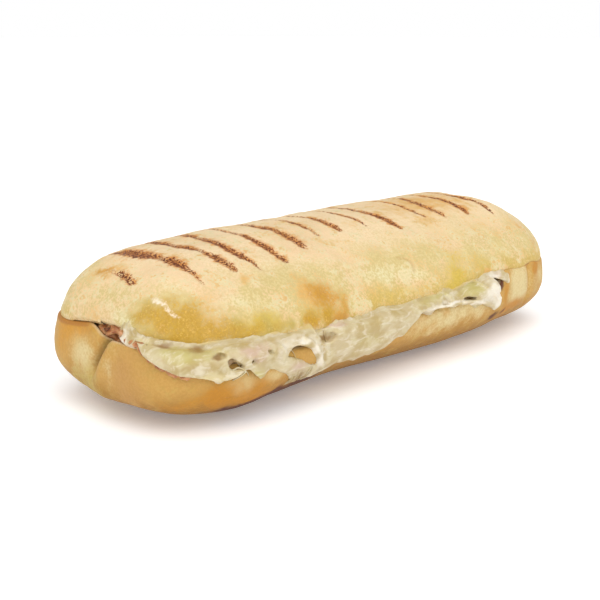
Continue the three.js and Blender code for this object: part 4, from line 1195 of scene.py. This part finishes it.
# ropes and threads of pulled cheese: places along the roll and up (three numbers where the end
# of the roll turns away), and radii
cheeseRopes = [
    ([(-68.4, 22), (-67.4, 25.2), (-64, 26), (-60, 25), (-57, 23.4)], [0.25, 0.4, 0.45, 0.45, 0.4]),
    ([(-61.6, 27.7), (-59.5, 26.2), (-55.9, 23.4), (-52.8, 19.5), (-49.6, 14.2), (-49, 10)],
      [0.4, 0.75, 0.9, 0.85, 0.7, 0.4]),
    ([(-51.7, 22.9), (-49, 19.8), (-46.4, 15.1)], [0.4, 0.55, 0.35]),
    ([(-56.8, 31), (-55.6, 29), (-54, 26.6), (-52, 24)], [0.2, 0.35, 0.45, 0.4]),
    ([(-52.4, 27.8), (-48, 27.6), (-44, 27.8), (-40, 28.6)], [0.3, 0.5, 0.5, 0.3]),
    ([(-73, 28.6), (-71.5, 26.4), (-70, 24), (-69.6, 20.4)], [0.25, 0.5, 0.6, 0.4]),
    ([(-104, 22.4), (-100, 21), (-95.5, 19.7), (-91, 19.1), (-88.6, 19.8)],
      [0.2, 0.35, 0.45, 0.45, 0.25]),
    ([(-91.6, 21.6), (-88.6, 21), (-86, 21.3)], [0.25, 0.35, 0.3]),
    ([(-109.4, -13, 32.4), (-109.6, -12.6, 35), (-109, -12, 37.6)], [0.6, 0.4, 0.15]),
    ([(-109.4, -13.6, 33), (-109.6, -14.4, 35), (-108.6, -14.8, 38)], [0.5, 0.4, 0.15]),
    ([(-109.2, -16.4, 32.6), (-109, -17.4, 34.4), (-108.4, -18, 36)], [0.45, 0.35, 0.15]),
    ([(-2.2, 25), (7.1, 24.8), (18.9, 23.8), (29.4, 23.3), (36, 22.4), (41, 20.8), (47, 18.4),
      (51.3, 15.8)], [0.3, 0.6, 0.7, 0.6, 0.7, 0.8, 0.7, 0.4]),
    ([(30, 30.4), (35.9, 30.2), (38.5, 29.2), (40.2, 27.5), (43.2, 25.6), (47, 23), (51, 19.6)],
      [0.2, 0.45, 0.55, 0.6, 0.6, 0.6, 0.4]),
]
cheeseThreads = [
    ([(-91, 22.2), (-88.3, 22.6), (-86.5, 21.2), (-86.9, 19.2), (-89.2, 18.2)],
      [0.2, 0.28, 0.3, 0.28, 0.16]),
    ([(-86.4, 21.2), (-84.6, 20.4), (-83.4, 18.8)], [0.3, 0.22, 0.12]),
    ([(-66.6, 24.6), (-64.6, 22.6), (-64, 20)], [0.16, 0.12, 0.12]),
    ([(-50.5, 27.4), (-49.8, 25.4), (-49.4, 23.4)], [0.2, 0.14, 0.2]),
]
# short drips under the opening at the left, each placed at random in these ranges
drips = {
    "seed": 4, "count": 12, "along": (-64, -54), "level": (13, 17), "drop": (2.5, 5), "lean": (-1, 1),
    "lowest": 9.5, "radii": [0.2, 0.3, 0.12],
}


def tube(path, radii, sides):
    along = np.gradient(path, axis=0)
    along /= np.linalg.norm(along, axis=1, keepdims=True) + 1e-9
    side = np.cross(along, (0.2, -1.0, 0.1))
    side /= np.linalg.norm(side, axis=1, keepdims=True) + 1e-9
    turn = np.linspace(0, 2 * math.pi, sides + 1)[:-1, None]
    return closedRings([centre + radius * (np.cos(turn) * u + np.sin(turn) * v)
                        for centre, u, v, radius in zip(path, side, np.cross(along, side), radii)])


# A line laid on what it meets from the front
def laidPath(tree, corners, lift):
    found = np.full((len(corners), 3), np.nan)
    for k, corner in enumerate(corners):
        if len(corner) == 3:
            place = tree.find_nearest(Vector(corner))[0] - Vector((lift, lift, 0))
        else:
            x, z = corner
            hit = tree.ray_cast(Vector((x, cheeseForm["castFrom"], z)), Vector((0, 1, 0)))[0]
            met = hit and hit.y < cheeseForm["castLimit"]
            place = Vector((x, hit.y - lift if met else np.nan, z))
        found[k] = place
    known = ~np.isnan(found[:, 1])
    found[:, 1] = np.interp(np.arange(len(found)), np.flatnonzero(known), found[known, 1])
    for k in range(1, len(found) - 1):
        found[k, 1] = min(found[k, 1], (found[k - 1, 1] + found[k + 1, 1]) / 2 + 0.6)
    return smoothLine(found, 6)


def laidTube(tree, corners, radii, lift, sides):
    path = laidPath(tree, corners, lift)
    spread = np.interp(np.linspace(0, len(radii) - 1, len(path)), np.arange(len(radii)), radii)
    return tube(path, spread, sides)


def buildCheese(form, voxel):
    around = evenBearings(3.0, [(186, 304)], 0.9)
    bottom, top = [layerRows(around, cheeseEdge(around), gapAt, form["ways"], form["shares"])
                   for gapAt in (cheeseUnder, cheeseOver)]
    rows = bottom + top[::-1]
    total = len(rows) * len(around)
    faces = [tuple(v % total for v in face) for face in ringFaces(len(rows) + 1, len(around))]
    meshes = [(np.concatenate(rows), faces), cheeseSheet(form)]

    # joins meshes into one skin of voxels
    def fused(meshes, **settings):
        piece = makePiece("cheese_melted_part", *joinedMesh(meshes), meltedCheese)
        settle(piece, "REMESH", mode="VOXEL", voxel_size=voxel * 0.001, **settings)
        return piece

    band = fused([(points, outwardFaces(points, faces)) for points, faces in meshes])
    points, faces = meshOf(band)
    bpy.data.objects.remove(band)
    points = pressOpenings(points, form)
    band = makePiece("cheese_melted_open", points, faces, meltedCheese)
    tree = surfaceTree([band, bottomHalf, topHalf])
    ropes = [laidTube(tree, corners, radii, 0.1, 8) for corners, radii in cheeseRopes]
    ropes = [(points, outwardFaces(points, faces)) for points, faces in ropes]
    opened = meshOf(band)
    bpy.data.objects.remove(band)
    band = fused([opened] + ropes, use_smooth_shade=True)
    settle(band, "SMOOTH", factor=0.5, iterations=5)
    points, faces = meshOf(band)
    normal = np.empty(len(points) * 3)
    band.data.vertices.foreach_get("normal", normal)
    bpy.data.objects.remove(band)
    flow = np.abs(pathNoise(points * np.array([0.7, 1, 0.7]), 3.2, 11))
    points = points + normal.reshape(-1, 3) * (form["streaks"] * (0.2 - flow))[:, None]
    start = np.full(len(around), form["ways"][0] + 1)    # the slab inside laps over the band
    inner = [draped(around, start, gapAt(around, start)) for gapAt in (cheeseUnder, cheeseOver)]
    slab = closedRings(capRings(inner[0], (0.05, 0.4, 0.8)) + inner + capRings(inner[1], (0.8, 0.4, 0.05)))
    points, faces = joinedMesh([(points, faces), slab])
    paint = spotPaint(cheeseSpots, points, (1.4, 5))
    x, y, z = points.T
    paint["smear"] = smoothStep(-0.5, 1.9, z - lipAt(x, y)) * smoothStep(-112, -98, x)
    return makePiece("cheese_melted_film", points, faces, meltedCheese, paint)


def buildThreads(form):
    tree = surfaceTree([cheese, bottomHalf, topHalf])
    dice = random.Random(form["seed"])
    threads = [laidTube(tree, corners, radii, 0.25, 6) for corners, radii in cheeseThreads]
    for _ in range(form["count"]):
        x, z = dice.uniform(*form["along"]), dice.uniform(*form["level"])
        drop, lean = dice.uniform(*form["drop"]), dice.uniform(*form["lean"])
        corners = [(x, z), (x + 0.5 * lean, z - 0.5 * drop), (x + lean, max(z - drop, form["lowest"]))]
        threads.append(laidTube(tree, corners, form["radii"], 0.0, 5))
    points, faces = joinedMesh(threads)
    return makePiece("cheese_melted_threads", points, faces, meltedCheese, spotPaint(cheeseSpots, points))


cheese = buildCheese(cheeseForm, cheeseForm["voxel"])
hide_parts("cheese_melted")
threads = buildThreads(drips)
for piece in (cheese, threads):
    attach(piece, "root")
print("cheese made:", len(cheese.data.polygons), "and", len(threads.data.polygons), "faces")
